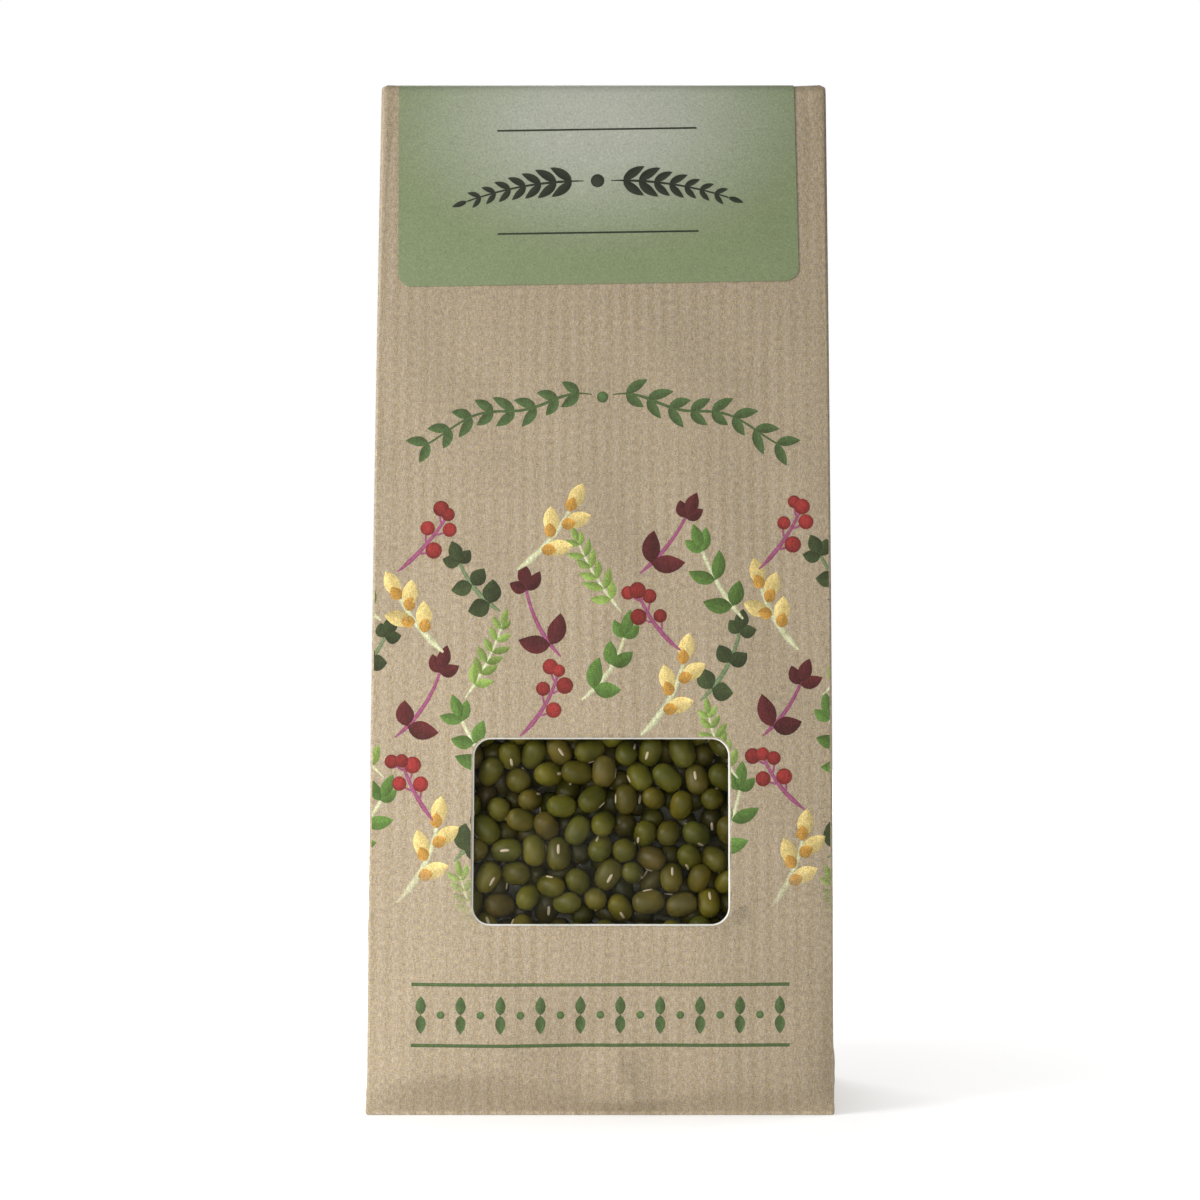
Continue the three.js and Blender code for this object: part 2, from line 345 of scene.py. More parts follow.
def set_colour(mesh, name, colours):
    layer = mesh.color_attributes.new(name, "FLOAT_COLOR", "POINT")
    colours = np.asarray(colours, dtype=np.float32).reshape(-1, 3)
    opaque = np.ones((len(colours), 1), dtype=np.float32)
    layer.data.foreach_set("color", np.hstack([colours, opaque]).ravel())


def thicken(piece, thickness, inward=True, rim_slot=0):
    layer = piece.modifiers.new("Thickness", "SOLIDIFY")
    layer.thickness = thickness
    layer.offset = -1 if inward else 1
    layer.use_rim = True
    layer.material_offset_rim = rim_slot


def crisp_rim(piece):
    """Applies a sheet's thickness and shades its flat faces apart from its cut rim"""
    solid = bpy.data.meshes.new_from_object(piece.evaluated_get(bpy.context.evaluated_depsgraph_get()))
    piece.modifiers.clear()
    piece.data = solid
    solid.set_sharp_from_angle(angle=RIM_ANGLE)


def settle_piece(piece, slot, *nodes):
    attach(piece, BODY)
    if nodes:
        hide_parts(*nodes)


def rounded_outline(width, height, radius, steps=10):
    """Corner arcs of an upright rectangle about its middle, anticlockwise"""
    points = []
    for quarter in range(4):
        side_x = 1 if quarter in (0, 3) else -1
        side_z = 1 if quarter in (0, 1) else -1
        for step in range(steps + 1):
            angle = math.pi / 2 * (quarter + step / steps)
            x = side_x * (width / 2 - radius) + radius * math.cos(angle)
            z = side_z * (height / 2 - radius) + radius * math.sin(angle)
            points.append((x, z))
    return np.array(points)


def window_outline(form, grow):
    """The window's outline about its middle, grown all round"""
    return rounded_outline(
        form.window_width + 2 * grow,
        form.window_height + 2 * grow,
        form.window_radius + grow,
    )


def skew_mesh(form, mesh):
    points = np.empty(len(mesh.vertices) * 3)
    mesh.vertices.foreach_get("co", points)
    mesh.vertices.foreach_set("co", skewed(form, points.reshape(-1, 3)).ravel())
    mesh.update()


# Shader helpers


def srgb(red, green, blue):
    """A colour as seen on a screen, in the linear values that shaders take"""

    def linear(level):
        share = level / 255
        return share / 12.92 if share <= 0.04045 else ((share + 0.055) / 1.055) ** 2.4

    return linear(red), linear(green), linear(blue)


def add_node(tree, kind, **settings):
    node = tree.nodes.new(kind)
    for key, value in settings.items():
        setattr(node, key, value)
    return node


def feed(tree, socket, value):
    if isinstance(value, bpy.types.NodeSocket):
        tree.links.new(value, socket)
    else:
        socket.default_value = value


def calc(tree, operation, *values, clamp=False):
    node = add_node(tree, "ShaderNodeMath", operation=operation, use_clamp=clamp)
    for socket, value in zip(node.inputs, values):
        feed(tree, socket, value)
    return node.outputs[0]


def scaled(tree, vector, factors):
    node = add_node(tree, "ShaderNodeVectorMath", operation="MULTIPLY")
    feed(tree, node.inputs[0], vector)
    node.inputs[1].default_value = factors
    return node.outputs[0]


def noise_value(tree, vector, scale, detail=2.0, roughness=0.5):
    node = add_node(tree, "ShaderNodeTexNoise")
    feed(tree, node.inputs["Vector"], vector)
    node.inputs["Scale"].default_value = scale
    node.inputs["Detail"].default_value = detail
    node.inputs["Roughness"].default_value = roughness
    return node.outputs["Fac"]


def spread(tree, value, low, high, to_low=0.0, to_high=1.0, style="SMOOTHSTEP"):
    node = add_node(tree, "ShaderNodeMapRange", interpolation_type=style)
    feed(tree, node.inputs["Value"], value)
    node.inputs["From Min"].default_value = low
    node.inputs["From Max"].default_value = high
    node.inputs["To Min"].default_value = to_low
    node.inputs["To Max"].default_value = to_high
    return node.outputs["Result"]


def mix_colours(tree, factor, first, second, blend="MIX"):
    node = add_node(tree, "ShaderNodeMix", data_type="RGBA", blend_type=blend)
    feed(tree, node.inputs[0], factor)
    low, high = [s for s in node.inputs if s.type == "RGBA"]
    feed(tree, low, first if isinstance(first, bpy.types.NodeSocket) else (*first, 1))
    feed(tree, high, second if isinstance(second, bpy.types.NodeSocket) else (*second, 1))
    return next(s for s in node.outputs if s.type == "RGBA")


def joined_levels(tree, levels):
    """One colour from its red, green and blue levels"""
    node = add_node(tree, "ShaderNodeCombineColor")
    for socket, level in zip(node.inputs, levels):
        tree.links.new(level, socket)
    return node.outputs[0]


def mix_shaders(tree, factor, first, second, out):
    join = add_node(tree, "ShaderNodeMixShader")
    for socket, source in zip(join.inputs, (factor, first.outputs[0], second.outputs[0])):
        tree.links.new(source, socket)
    tree.links.new(join.outputs[0], out.inputs["Surface"])


def new_group(name, **inputs):
    """A group for paper: it takes a colour and the given values, and gives colour, height and roughness"""
    tree = bpy.data.node_groups.new(name, "ShaderNodeTree")
    paper = tree.interface.new_socket(name="Colour", in_out="INPUT", socket_type="NodeSocketColor")
    paper.default_value = (1, 1, 1, 1)
    for label, value in inputs.items():
        title = label.replace("_", " ")
        socket = tree.interface.new_socket(name=title, in_out="INPUT", socket_type="NodeSocketFloat")
        socket.default_value = value
    tree.interface.new_socket(name="Colour", in_out="OUTPUT", socket_type="NodeSocketColor")
    for title in ("Height", "Roughness"):
        tree.interface.new_socket(name=title, in_out="OUTPUT", socket_type="NodeSocketFloat")
    return tree, tree.nodes.new("NodeGroupInput"), tree.nodes.new("NodeGroupOutput")


def use_group(tree, name, **values):
    ensure_groups()
    node = add_node(tree, "ShaderNodeGroup", node_tree=bpy.data.node_groups[name])
    for label, value in values.items():
        feed(tree, node.inputs[label.replace("_", " ")], value)
    return node.outputs


def new_material(name):
    material = bpy.data.materials.new(name)
    material.use_nodes = True
    return material, material.node_tree, material.node_tree.nodes["Principled BSDF"]


def bump(tree, shader, height, distance, strength):
    node = add_node(tree, "ShaderNodeBump")
    node.inputs["Strength"].default_value = strength
    node.inputs["Distance"].default_value = distance
    feed(tree, node.inputs["Height"], height)
    tree.links.new(node.outputs["Normal"], shader.inputs["Normal"])


def dress(tree, shader, base, roughness, shine=0.5):
    """Links a shader's colour and roughness and sets how much it shines"""
    tree.links.new(base, shader.inputs["Base Color"])
    tree.links.new(roughness, shader.inputs["Roughness"])
    shader.inputs["Specular IOR Level"].default_value = shine


def flat_uv(tree):
    return add_node(tree, "ShaderNodeUVMap", uv_map="Flat").outputs[0]


def sheet_noise(tree, scales, detail=2.0, roughness=0.5):
    """Noise over the unfolded sheet, with its own scale across and up"""
    return noise_value(tree, scaled(tree, flat_uv(tree), (*scales, 0)), 1.0, detail, roughness)


def attribute(tree, name, output):
    return add_node(tree, "ShaderNodeAttribute", attribute_name=name).outputs[output]


KRAFT_GROUP = "Kraft fibre"
GRAIN_GROUP = "Paper grain"
RIB_WANDER = 1.6 * MM
RIB_SHARES = (0.8, 1.0, 1.5)
WARM_TINT = (1.07, 0.99, 0.78)
COOL_TINT = (0.95, 0.99, 1.18)


def kraft_group():
    """Ribbed, speckled fibre of machine-glazed kraft, over the unfolded sheet"""
    tree, given, out = new_group(KRAFT_GROUP, Rib_Pitch=2.26 * MM, Rib_Strength=0.075, Speckle=3.0)
    parts = add_node(tree, "ShaderNodeSeparateXYZ")
    tree.links.new(flat_uv(tree), parts.inputs[0])
    wander = sheet_noise(tree, (120, 40))
    place = calc(tree, "MULTIPLY_ADD", wander, RIB_WANDER, parts.outputs["X"])
    turns = calc(tree, "DIVIDE", place, given.outputs["Rib Pitch"])
    rib = calc(tree, "SINE", calc(tree, "MULTIPLY", turns, math.tau))
    patchy = sheet_noise(tree, (90, 60))
    rib = calc(tree, "MULTIPLY", rib, spread(tree, patchy, 0.3, 0.7, 0.25, 1.0))

    fine = sheet_noise(tree, (5600, 4800), 2.0, 0.7)
    fibre = sheet_noise(tree, (2900, 1200), 3.0, 0.6)
    cloud = sheet_noise(tree, (170, 120), 3.0)
    grain = calc(tree, "ADD", calc(tree, "MULTIPLY", fine, 0.6), calc(tree, "MULTIPLY", fibre, 0.4))
    grain = calc(tree, "SUBTRACT", grain, 0.5)
    level = calc(tree, "MULTIPLY_ADD", grain, given.outputs["Speckle"], 1.0)
    level = calc(tree, "MULTIPLY_ADD", calc(tree, "SUBTRACT", cloud, 0.5), 0.1, level)
    depth = calc(tree, "MULTIPLY", rib, given.outputs["Rib Strength"])

    warm = sheet_noise(tree, (4000, 3400), 2.0, 0.8)
    tint = mix_colours(tree, spread(tree, warm, 0.38, 0.62), WARM_TINT, COOL_TINT)
    toned = mix_colours(tree, 1.0, given.outputs["Colour"], tint, "MULTIPLY")
    ribbed = joined_levels(tree, [calc(tree, "MULTIPLY_ADD", depth, share, level) for share in RIB_SHARES])
    tree.links.new(mix_colours(tree, 1.0, toned, ribbed, "MULTIPLY"), out.inputs["Colour"])
    height = calc(tree, "MULTIPLY_ADD", rib, 0.5, calc(tree, "MULTIPLY", fibre, 0.9))
    tree.links.new(height, out.inputs["Height"])
    tree.links.new(calc(tree, "MULTIPLY_ADD", grain, 0.25, 0.8), out.inputs["Roughness"])


def grain_group():
    """Fine even tooth of smooth paper"""
    tree, given, out = new_group(GRAIN_GROUP, Amount=0.1, Roughness=0.6)
    place = add_node(tree, "ShaderNodeTexCoord").outputs["Object"]
    tooth = noise_value(tree, place, 3600, 3.0, 0.6)
    cloud = noise_value(tree, place, 160, 2.0)
    both = calc(tree, "ADD", calc(tree, "MULTIPLY", tooth, 0.9), calc(tree, "MULTIPLY", cloud, 0.1))
    centred = calc(tree, "SUBTRACT", both, 0.5)
    level = calc(tree, "MULTIPLY_ADD", centred, given.outputs["Amount"], 1.0)
    grey = joined_levels(tree, [level] * 3)
    toned = mix_colours(tree, 1.0, given.outputs["Colour"], grey, "MULTIPLY")
    tree.links.new(toned, out.inputs["Colour"])
    tree.links.new(tooth, out.inputs["Height"])
    rough = calc(tree, "MULTIPLY_ADD", centred, 0.2, given.outputs["Roughness"])
    tree.links.new(rough, out.inputs["Roughness"])


def ensure_groups():
    if KRAFT_GROUP not in bpy.data.node_groups:
        kraft_group()
    if GRAIN_GROUP not in bpy.data.node_groups:
        grain_group()


# Materials


KRAFT_SHINE = 0.25
KRAFT_RELIEF = (0.035 * MM, 0.7)
# Factor that lightens the kraft along its folds: a painted highlight on the fold edges
FOLD_PAINTED_HIGHLIGHT = (1.28, 1.3, 1.34)


def kraft_material(colours):
    name = "ribbed_kraft"
    if name in bpy.data.materials:
        return bpy.data.materials[name]
    material, tree, shader = new_material(name)
    # The fold mask paints the kraft lighter along the side folds, gusset creases, base edge and top of the
    # fold round, broken up by noise: a painted highlight
    fold_highlight_mask = attribute(tree, "fold", "Fac")
    kraft = use_group(tree, KRAFT_GROUP, Colour=(*colours.kraft, 1))
    lighter = mix_colours(tree, 1.0, kraft["Colour"], FOLD_PAINTED_HIGHLIGHT, "MULTIPLY")
    patchy = sheet_noise(tree, (900, 700))
    fold_highlight_share = calc(tree, "MULTIPLY", fold_highlight_mask, spread(tree, patchy, 0.35, 0.65, 0.35, 1.0))
    dress(tree, shader, mix_colours(tree, fold_highlight_share, kraft["Colour"], lighter), kraft["Roughness"], KRAFT_SHINE)
    bump(tree, shader, kraft["Height"], *KRAFT_RELIEF)
    return material


def ink_material(colours):
    material, tree, shader = new_material("ink_on_kraft")
    ink = use_group(tree, KRAFT_GROUP, Colour=attribute(tree, "ink", "Color"), Speckle=2.8)
    kraft = use_group(tree, KRAFT_GROUP, Colour=(*colours.kraft, 1))
    cover = attribute(tree, "cover", "Fac")
    printed = mix_colours(tree, cover, kraft["Colour"], ink["Colour"])
    dress(tree, shader, printed, kraft["Roughness"], KRAFT_SHINE)
    bump(tree, shader, kraft["Height"], *KRAFT_RELIEF)
    return material


def cut_paper_material(colours):
    name = "white_cut_edge"
    if name in bpy.data.materials:
        return bpy.data.materials[name]
    material, tree, shader = new_material(name)
    grain = use_group(tree, GRAIN_GROUP, Colour=(*colours.cut_paper, 1), Amount=0.25, Roughness=0.85)
    dress(tree, shader, grain["Colour"], grain["Roughness"])
    bump(tree, shader, grain["Height"], 0.02 * MM, 0.4)
    return material


LABEL_GLOW = (0.5 * MM, 6.5 * MM)
LABEL_GLOW_REACH = (39 * MM, 25 * MM)


def label_material(colours):
    """Satin paper, pale about the middle of its upper edge and greener outwards"""
    material, tree, shader = new_material("satin_label")
    offset = add_node(tree, "ShaderNodeVectorMath", operation="SUBTRACT")
    tree.links.new(flat_uv(tree), offset.inputs[0])
    offset.inputs[1].default_value = (*LABEL_GLOW, 0)
    shares = scaled(tree, offset.outputs[0], (1 / LABEL_GLOW_REACH[0], 1 / LABEL_GLOW_REACH[1], 0))
    reach = add_node(tree, "ShaderNodeVectorMath", operation="LENGTH")
    tree.links.new(shares, reach.inputs[0])
    glow = spread(tree, reach.outputs["Value"], 0.1, 1.0, 1.0, 0.0)
    tone = mix_colours(tree, glow, colours.label_green, colours.label_pale)
    grain = use_group(tree, GRAIN_GROUP, Colour=tone, Amount=1.1, Roughness=0.5)
    dress(tree, shader, grain["Colour"], grain["Roughness"], 0.4)
    bump(tree, shader, grain["Height"], 0.01 * MM, 0.3)
    return material


def label_ink_material():
    material, tree, shader = new_material("ink_on_label")
    grain = use_group(tree, GRAIN_GROUP, Colour=attribute(tree, "ink", "Color"), Amount=0.3, Roughness=0.5)
    dress(tree, shader, grain["Colour"], grain["Roughness"])
    return material


FILM_GLOSS = 0.06


def film_material():
    """Clear film: what lies behind shows through, with a weak gloss"""
    material = bpy.data.materials.new("thin_film")
    material.use_nodes = True
    tree = material.node_tree
    tree.nodes.clear()
    out = add_node(tree, "ShaderNodeOutputMaterial")
    clear = add_node(tree, "ShaderNodeBsdfTransparent")
    clear.inputs["Color"].default_value = (0.97, 0.97, 0.96, 1)
    gloss = add_node(tree, "ShaderNodeBsdfAnisotropic")
    gloss.inputs["Roughness"].default_value = 0.25
    place = add_node(tree, "ShaderNodeTexCoord").outputs["Object"]
    wave = noise_value(tree, place, 170, 2.0)
    bump(tree, gloss, wave, 0.3 * MM, 0.5)
    edge = add_node(tree, "ShaderNodeFresnel")
    edge.inputs["IOR"].default_value = 1.35
    share = calc(tree, "MULTIPLY", edge.outputs[0], FILM_GLOSS)
    mix_shaders(tree, share, clear, gloss, out)
    return material


def bean_material(colours):
    """Dull satin seed coat with fine mottling, and the pale scar"""
    name = "seed_coat"
    if name in bpy.data.materials:
        return bpy.data.materials[name]
    material, tree, shader = new_material(name)
    place = add_node(tree, "ShaderNodeTexCoord").outputs["Object"]
    mottle = noise_value(tree, place, 900, 3.0, 0.6)
    cloud = noise_value(tree, place, 260, 2.0)
    skin = attribute(tree, "skin", "Color")
    darker = mix_colours(tree, 1.0, skin, (0.72, 0.76, 0.72), "MULTIPLY")
    paler = mix_colours(tree, 1.0, skin, (1.16, 1.12, 1.1), "MULTIPLY")
    toned = mix_colours(tree, spread(tree, cloud, 0.32, 0.68), darker, paler)
    toned = mix_colours(tree, spread(tree, mottle, 0.55, 0.8, 0.0, 0.35), toned, darker)
    scar = attribute(tree, "scar", "Fac")
    skin_rough = spread(tree, mottle, 0.3, 0.7, 0.34, 0.46)
    dress(tree, shader, mix_colours(tree, scar, toned, colours.hilum), skin_rough, 0.22)
    bump(tree, shader, mottle, 0.02 * MM, 0.25)
    return material


# Paper bag

PANEL_STEPS = 96
FOLD_STEPS = (0.45 * MM, 1.1 * MM)
FACET_STEPS = 11
LEVEL_STEPS = 140
BASE_LEVELS = (0.07, 0.15, 0.28, 0.45, 0.8, 1.3, 1.9, 2.7)
BODY_START = 3.6 * MM
# Height of the base edge that gets the painted fold highlight
BASE_EDGE_HIGHLIGHT_HEIGHT = 0.5 * MM
ARC_LEVELS = 12
TOP_ROUND = 0.5 * MM
FLAP_LEVELS = 20
CUT_BAND = 0.22 * MM


def panel_shares(form):
    """Places across a panel from -1 to 1, closer together by the folds"""
    even = np.linspace(-1, 1, PANEL_STEPS + 1)[1:-1]
    near = np.array([0, *FOLD_STEPS]) / (form.width / 2)
    edge = 1 - near
    inner = even[np.abs(even) < edge[-1]]
    return np.concatenate([-edge, inner, edge[::-1]])


def facet_shares(form):
    """Places from a side fold, 0, to the gusset's middle crease, 1"""
    near = np.array(FOLD_STEPS) / (form.depth / 2)
    even = np.linspace(near[-1], 1 - near[-1], FACET_STEPS)
    return np.concatenate([[near[0]], even, [1 - near[0], 1]])


def facet_relief(flat_x, z, share):
    """Ripples of a gusset facet, and the slanted crease that the block bottom leaves"""
    height, reach = GUSSET_CREASE
    slant = np.abs(share * GUSSET_CREASE_RUN - z) / math.sqrt(2)
    fold = height * np.exp(-slant / reach) * (z < GUSSET_CREASE_TOP)
    bent = ripple(flat_x, z) * RIPPLE_HIDDEN * (1 - smooth(z, *GUSSET_RIPPLE_FADE))
    return (fold + bent) * np.sin(np.pi * np.clip(share, 0, 1)) ** 0.7


def bag_ring(form, z):
    """Points round the bag at a height: x, how far towards the front, and x on the unfolded sheet"""
    wide, half, sunk = half_width(form, z), half_depth(form, z), gusset_depth(form, z)
    panel = panel_shares(form)
    facet = facet_shares(form)
    quarter = form.depth / 2
    side = np.concatenate([facet, facet[-2::-1]])
    toward = np.concatenate([1 - facet, facet[-2::-1] - 1])
    side_flat = np.concatenate([facet, 2 - facet[-2::-1]]) * quarter
    bow = GUSSET_BULGE * swell(z) * 4 * side * (1 - side)
    flats = np.cumsum([0, form.width, form.depth, form.width])
    rings = []
    for turn, way in enumerate((1, -1)):
        x = wide * panel * way
        out = panel_out(form, x, z, way == 1) * way
        rings.append((x, out, flats[2 * turn] + (panel + 1) * form.width / 2))
        flat_x = flats[2 * turn + 1] + side_flat
        stand = wide - sunk * side + bow + facet_relief(flat_x, z, side)
        rings.append((stand * way, half * toward * way, flat_x))
    return [np.concatenate(parts) for parts in zip(*rings)]


def fold_marks(form):
    """1 on the side folds and gusset creases of a ring, 0 between them: the mask of the painted fold
    highlight
    """
    panel = np.zeros(len(panel_shares(form)))
    panel[[0, -1]] = 1
    side = np.zeros(2 * len(facet_shares(form)) - 1)
    side[len(side) // 2] = 0.8
    return np.concatenate([panel, side, panel, side])


def bag_surface(form):
    """All rings of the bag: up the body, over the top fold and down the flap behind"""
    low = fold_low(form)
    body = np.concatenate([np.array(BASE_LEVELS) * MM, np.linspace(BODY_START, low, LEVEL_STEPS)])
    points, flats, folds = [], [], []
    marks = fold_marks(form)
    for z in body:
        x, out, flat_x = bag_ring(form, z)
        points.append(np.stack([x, middle_y(form, z) - out, np.full_like(x, z)], axis=-1))
        flats.append(np.stack([flat_x, np.full_like(x, z)], axis=-1))
        # The base edge is marked for the painted fold highlight
        folds.append(np.maximum(marks, 1.0 if z < BASE_EDGE_HIGHLIGHT_HEIGHT else 0.0))
    x, out, flat_x = bag_ring(form, low)
    share = out / half_depth(form, low)
    arc = fold_arc(form)
    for angle in np.linspace(0, math.pi, ARC_LEVELS + 1)[1:]:
        half = np.interp(angle, [0, math.pi], [half_depth(form, low), FLAP_THICKNESS / 2])
        y, z = fold_point(form, angle, -half * (1 - share))
        drawn_in = 1 - TOP_ROUND / half_width(form, low) * math.sin(angle) ** 6
        points.append(np.stack([x * drawn_in, y, z], axis=-1))
        flats.append(np.stack([flat_x, np.full_like(x, low + arc * angle / math.pi)], axis=-1))
        # The top of the fold round is marked for the painted fold highlight, strongest at its crest
        folds.append(np.maximum(marks, 0.5 * math.sin(angle) ** 8))
    for z in np.linspace(low, form.height - form.flap_drop, FLAP_LEVELS + 1)[1:]:
        y = flap_y(form, z) - FLAP_THICKNESS / 2 * (1 - share)
        points.append(np.stack([x, y, np.full_like(x, z)], axis=-1))
        flats.append(np.stack([flat_x, np.full_like(x, low + arc + low - z)], axis=-1))
        folds.append(marks)
    return np.array(points), np.array(flats), np.array(folds)


def cut_window(mesh, outline, middle):
    """Cuts the convex window out of the front panel, edge by edge"""
    work = bmesh.new()
    work.from_mesh(mesh)
    reach = np.abs(outline).max(axis=0) + 2 * MM
    inside = []
    for face in work.faces:
        place = face.calc_center_median()
        if place.y < 0 and abs(place.x) < reach[0] and abs(place.z - middle) < reach[1]:
            inside.append(face)
    for (x0, z0), (x1, z1) in zip(outline, np.roll(outline, -1, axis=0)):
        if math.hypot(x1 - x0, z1 - z0) < 1e-7:
            continue
        corner = Vector((x0, 0, middle + z0))
        outward = Vector((z1 - z0, 0, x0 - x1)).normalized()
        parts = set(inside)
        for face in inside:
            parts.update(face.edges)
            parts.update(face.verts)
        cut = bmesh.ops.bisect_plane(work, geom=list(parts), dist=1e-7, plane_co=corner, plane_no=outward)
        faces = [part for part in cut["geom"] if isinstance(part, bmesh.types.BMFace)]
        inside = [face for face in faces if (face.calc_center_median() - corner).dot(outward) < 0]
    bmesh.ops.delete(work, geom=inside, context="FACES")
    work.to_mesh(mesh)
    work.free()


def make_bag(form, colours):
    points, flats, folds = bag_surface(form)
    rows, columns = points.shape[:2]
    faces = grid_faces(rows, columns, closed=True)
    bag = new_piece("bag_paper", points, faces, [kraft_material(colours), cut_paper_material(colours)])
    set_flat_uv(bag.data, flats.reshape(-1, 2))
    last = np.arange(len(faces)) % columns == columns - 1
    layer = bag.data.uv_layers["Flat"].data
    around = 2 * (form.width + form.depth)
    for face in np.nonzero(last)[0]:
        for corner in (4 * face + 1, 4 * face + 2):
            layer[corner].uv.x = around
    # Mask of the painted fold highlight used by the kraft material
    set_value(bag.data, "fold", folds)
    cut_window(bag.data, window_outline(form, CUT_BAND), form.window_middle)
    skew_mesh(form, bag.data)
    bag.data.shade_smooth()
    thicken(bag, form.paper, rim_slot=1)
    settle_piece(bag, "kraft_paper", "paper_bag")


def make_window_edge(form, colours):
    """The white slanted edge of the cut paper round the window"""
    rows = []
    for band, deep in ((CUT_BAND, -0.01 * MM), (0, 0.9 * form.paper), (CUT_BAND, 1.1 * form.paper)):
        outline = window_outline(form, band)
        rows.append(front_point(form, outline[:, 0], outline[:, 1] + form.window_middle, -deep))
    points = np.array(rows)
    count = points.shape[1]
    faces = []
    for row in range(3):
        for step in range(count):
            a, b = row * count + step, row * count + (step + 1) % count
            c, d = (row + 1) % 3 * count + (step + 1) % count, (row + 1) % 3 * count + step
            faces.append((a, d, c, b))
    edge = new_piece("window_cut_edge", points, faces, [cut_paper_material(colours)], smooth_shade=False)
    settle_piece(edge, "kraft_paper")


FLAP_OVERLAP = 6 * MM
BASE_LAYER = 0.19 * MM


def plate(outline, low, thickness):
    """A flat sheet of paper with the given outline, lying level"""
    outline = np.array(outline)
    count = len(outline)
    points = np.vstack([np.c_[outline, np.full(count, z)] for z in (low, low + thickness)])
    sides = [(i, (i + 1) % count, count + (i + 1) % count, count + i) for i in range(count)]
    return points, [list(range(count))[::-1], [count + i for i in range(count)], *sides]


def make_base(form, colours):
    """The block bottom: side tucks under a back flap and a front flap, glued flat"""
    wide, deep = half_width(form, 0) - form.paper / 2, form.depth / 2
    tip = wide - deep
    lap = FLAP_OVERLAP
    front = [(-wide, -deep), (wide, -deep), (tip, 0), (tip - lap / 2, lap), (lap / 2 - tip, lap), (-tip, 0)]
    rear = [(-x, -y) for x, y in front]
    right = [(wide, -deep), (wide, deep), (tip, 0)]
    left = [(-x, -y) for x, y in right]
    whole = [(-wide, -deep), (wide, -deep), (wide, deep), (-wide, deep)]
    sheets = ((front, 0), (rear, 1), (right, 2), (left, 2), (whole, 3))
    points, faces = [], []
    for outline, layer in sheets:
        made, ends = plate(outline, layer * BASE_LAYER, BASE_LAYER * 0.9)
        start = sum(len(p) for p in points)
        points.append(made)
        faces += [[start + i for i in face] for face in ends]
    points = np.vstack(points)
    base = new_piece("base_folds", points, faces, [kraft_material(colours)], smooth_shade=False)
    set_flat_uv(base.data, points[:, :2])
    settle_piece(base, "kraft_paper")


SEAM_WIDTH = 13 * MM
SEAM_STEP = 0.16 * MM
SEAM_EDGE = 7 * MM
SEAM_GRID = (110, 9)
SEAM_ENDS = (0.6 * MM, 2 * MM)


def make_back_seam(form, colours):
    """The glued lap down the back panel: proud at its free edge, flush at the other"""
    top = form.height - form.flap_drop - SEAM_ENDS[1]
    heights = np.linspace(SEAM_ENDS[0], top, SEAM_GRID[0])
    across = np.linspace(0, 1, SEAM_GRID[1])
    x, z = np.meshgrid(SEAM_EDGE - across * SEAM_WIDTH, heights)
    lift = SEAM_STEP * (1 - 0.9 * np.broadcast_to(across, x.shape))
    points = skewed(form, np.stack([x, back_y(form, x, z) + lift, z], axis=-1))
    faces = grid_faces(len(heights), len(across))
    seam = new_piece("back_seam", points, faces, [kraft_material(colours)])
    set_flat_uv(seam.data, np.stack([x.ravel() + 0.3, z.ravel()], axis=-1))
    thicken(seam, SEAM_STEP)
    settle_piece(seam, "kraft_paper")


# Print

INK_BASE = 0.03 * MM
INK_STEP = 0.0015 * MM
STEM_CLEAR = 3
LEAF_STEPS = 9
LEAF_SHARES = (1, 0.5, 0.06, -0.06, -0.5, -1)
LEAF_SHADES = (1.2, 1.12, 1.05, 0.88, 0.8, 0.72)
STEM_STEPS = 16
BERRY_SIDES = 14
PRINT_FADE = (27 * MM, 40 * MM)

DARK_GREEN = srgb(52, 66, 36)
MID_GREEN = srgb(84, 118, 52)
LIGHT_GREEN = srgb(126, 152, 74)
SAGE = srgb(112, 132, 94)
BURGUNDY = srgb(80, 24, 30)
RED = srgb(122, 34, 34)
MAGENTA = srgb(150, 78, 114)
CREAM = srgb(222, 200, 130)
OCHRE = srgb(186, 140, 62)
PALE_STEM = srgb(200, 202, 164)
RULE_GREEN = srgb(62, 92, 48)


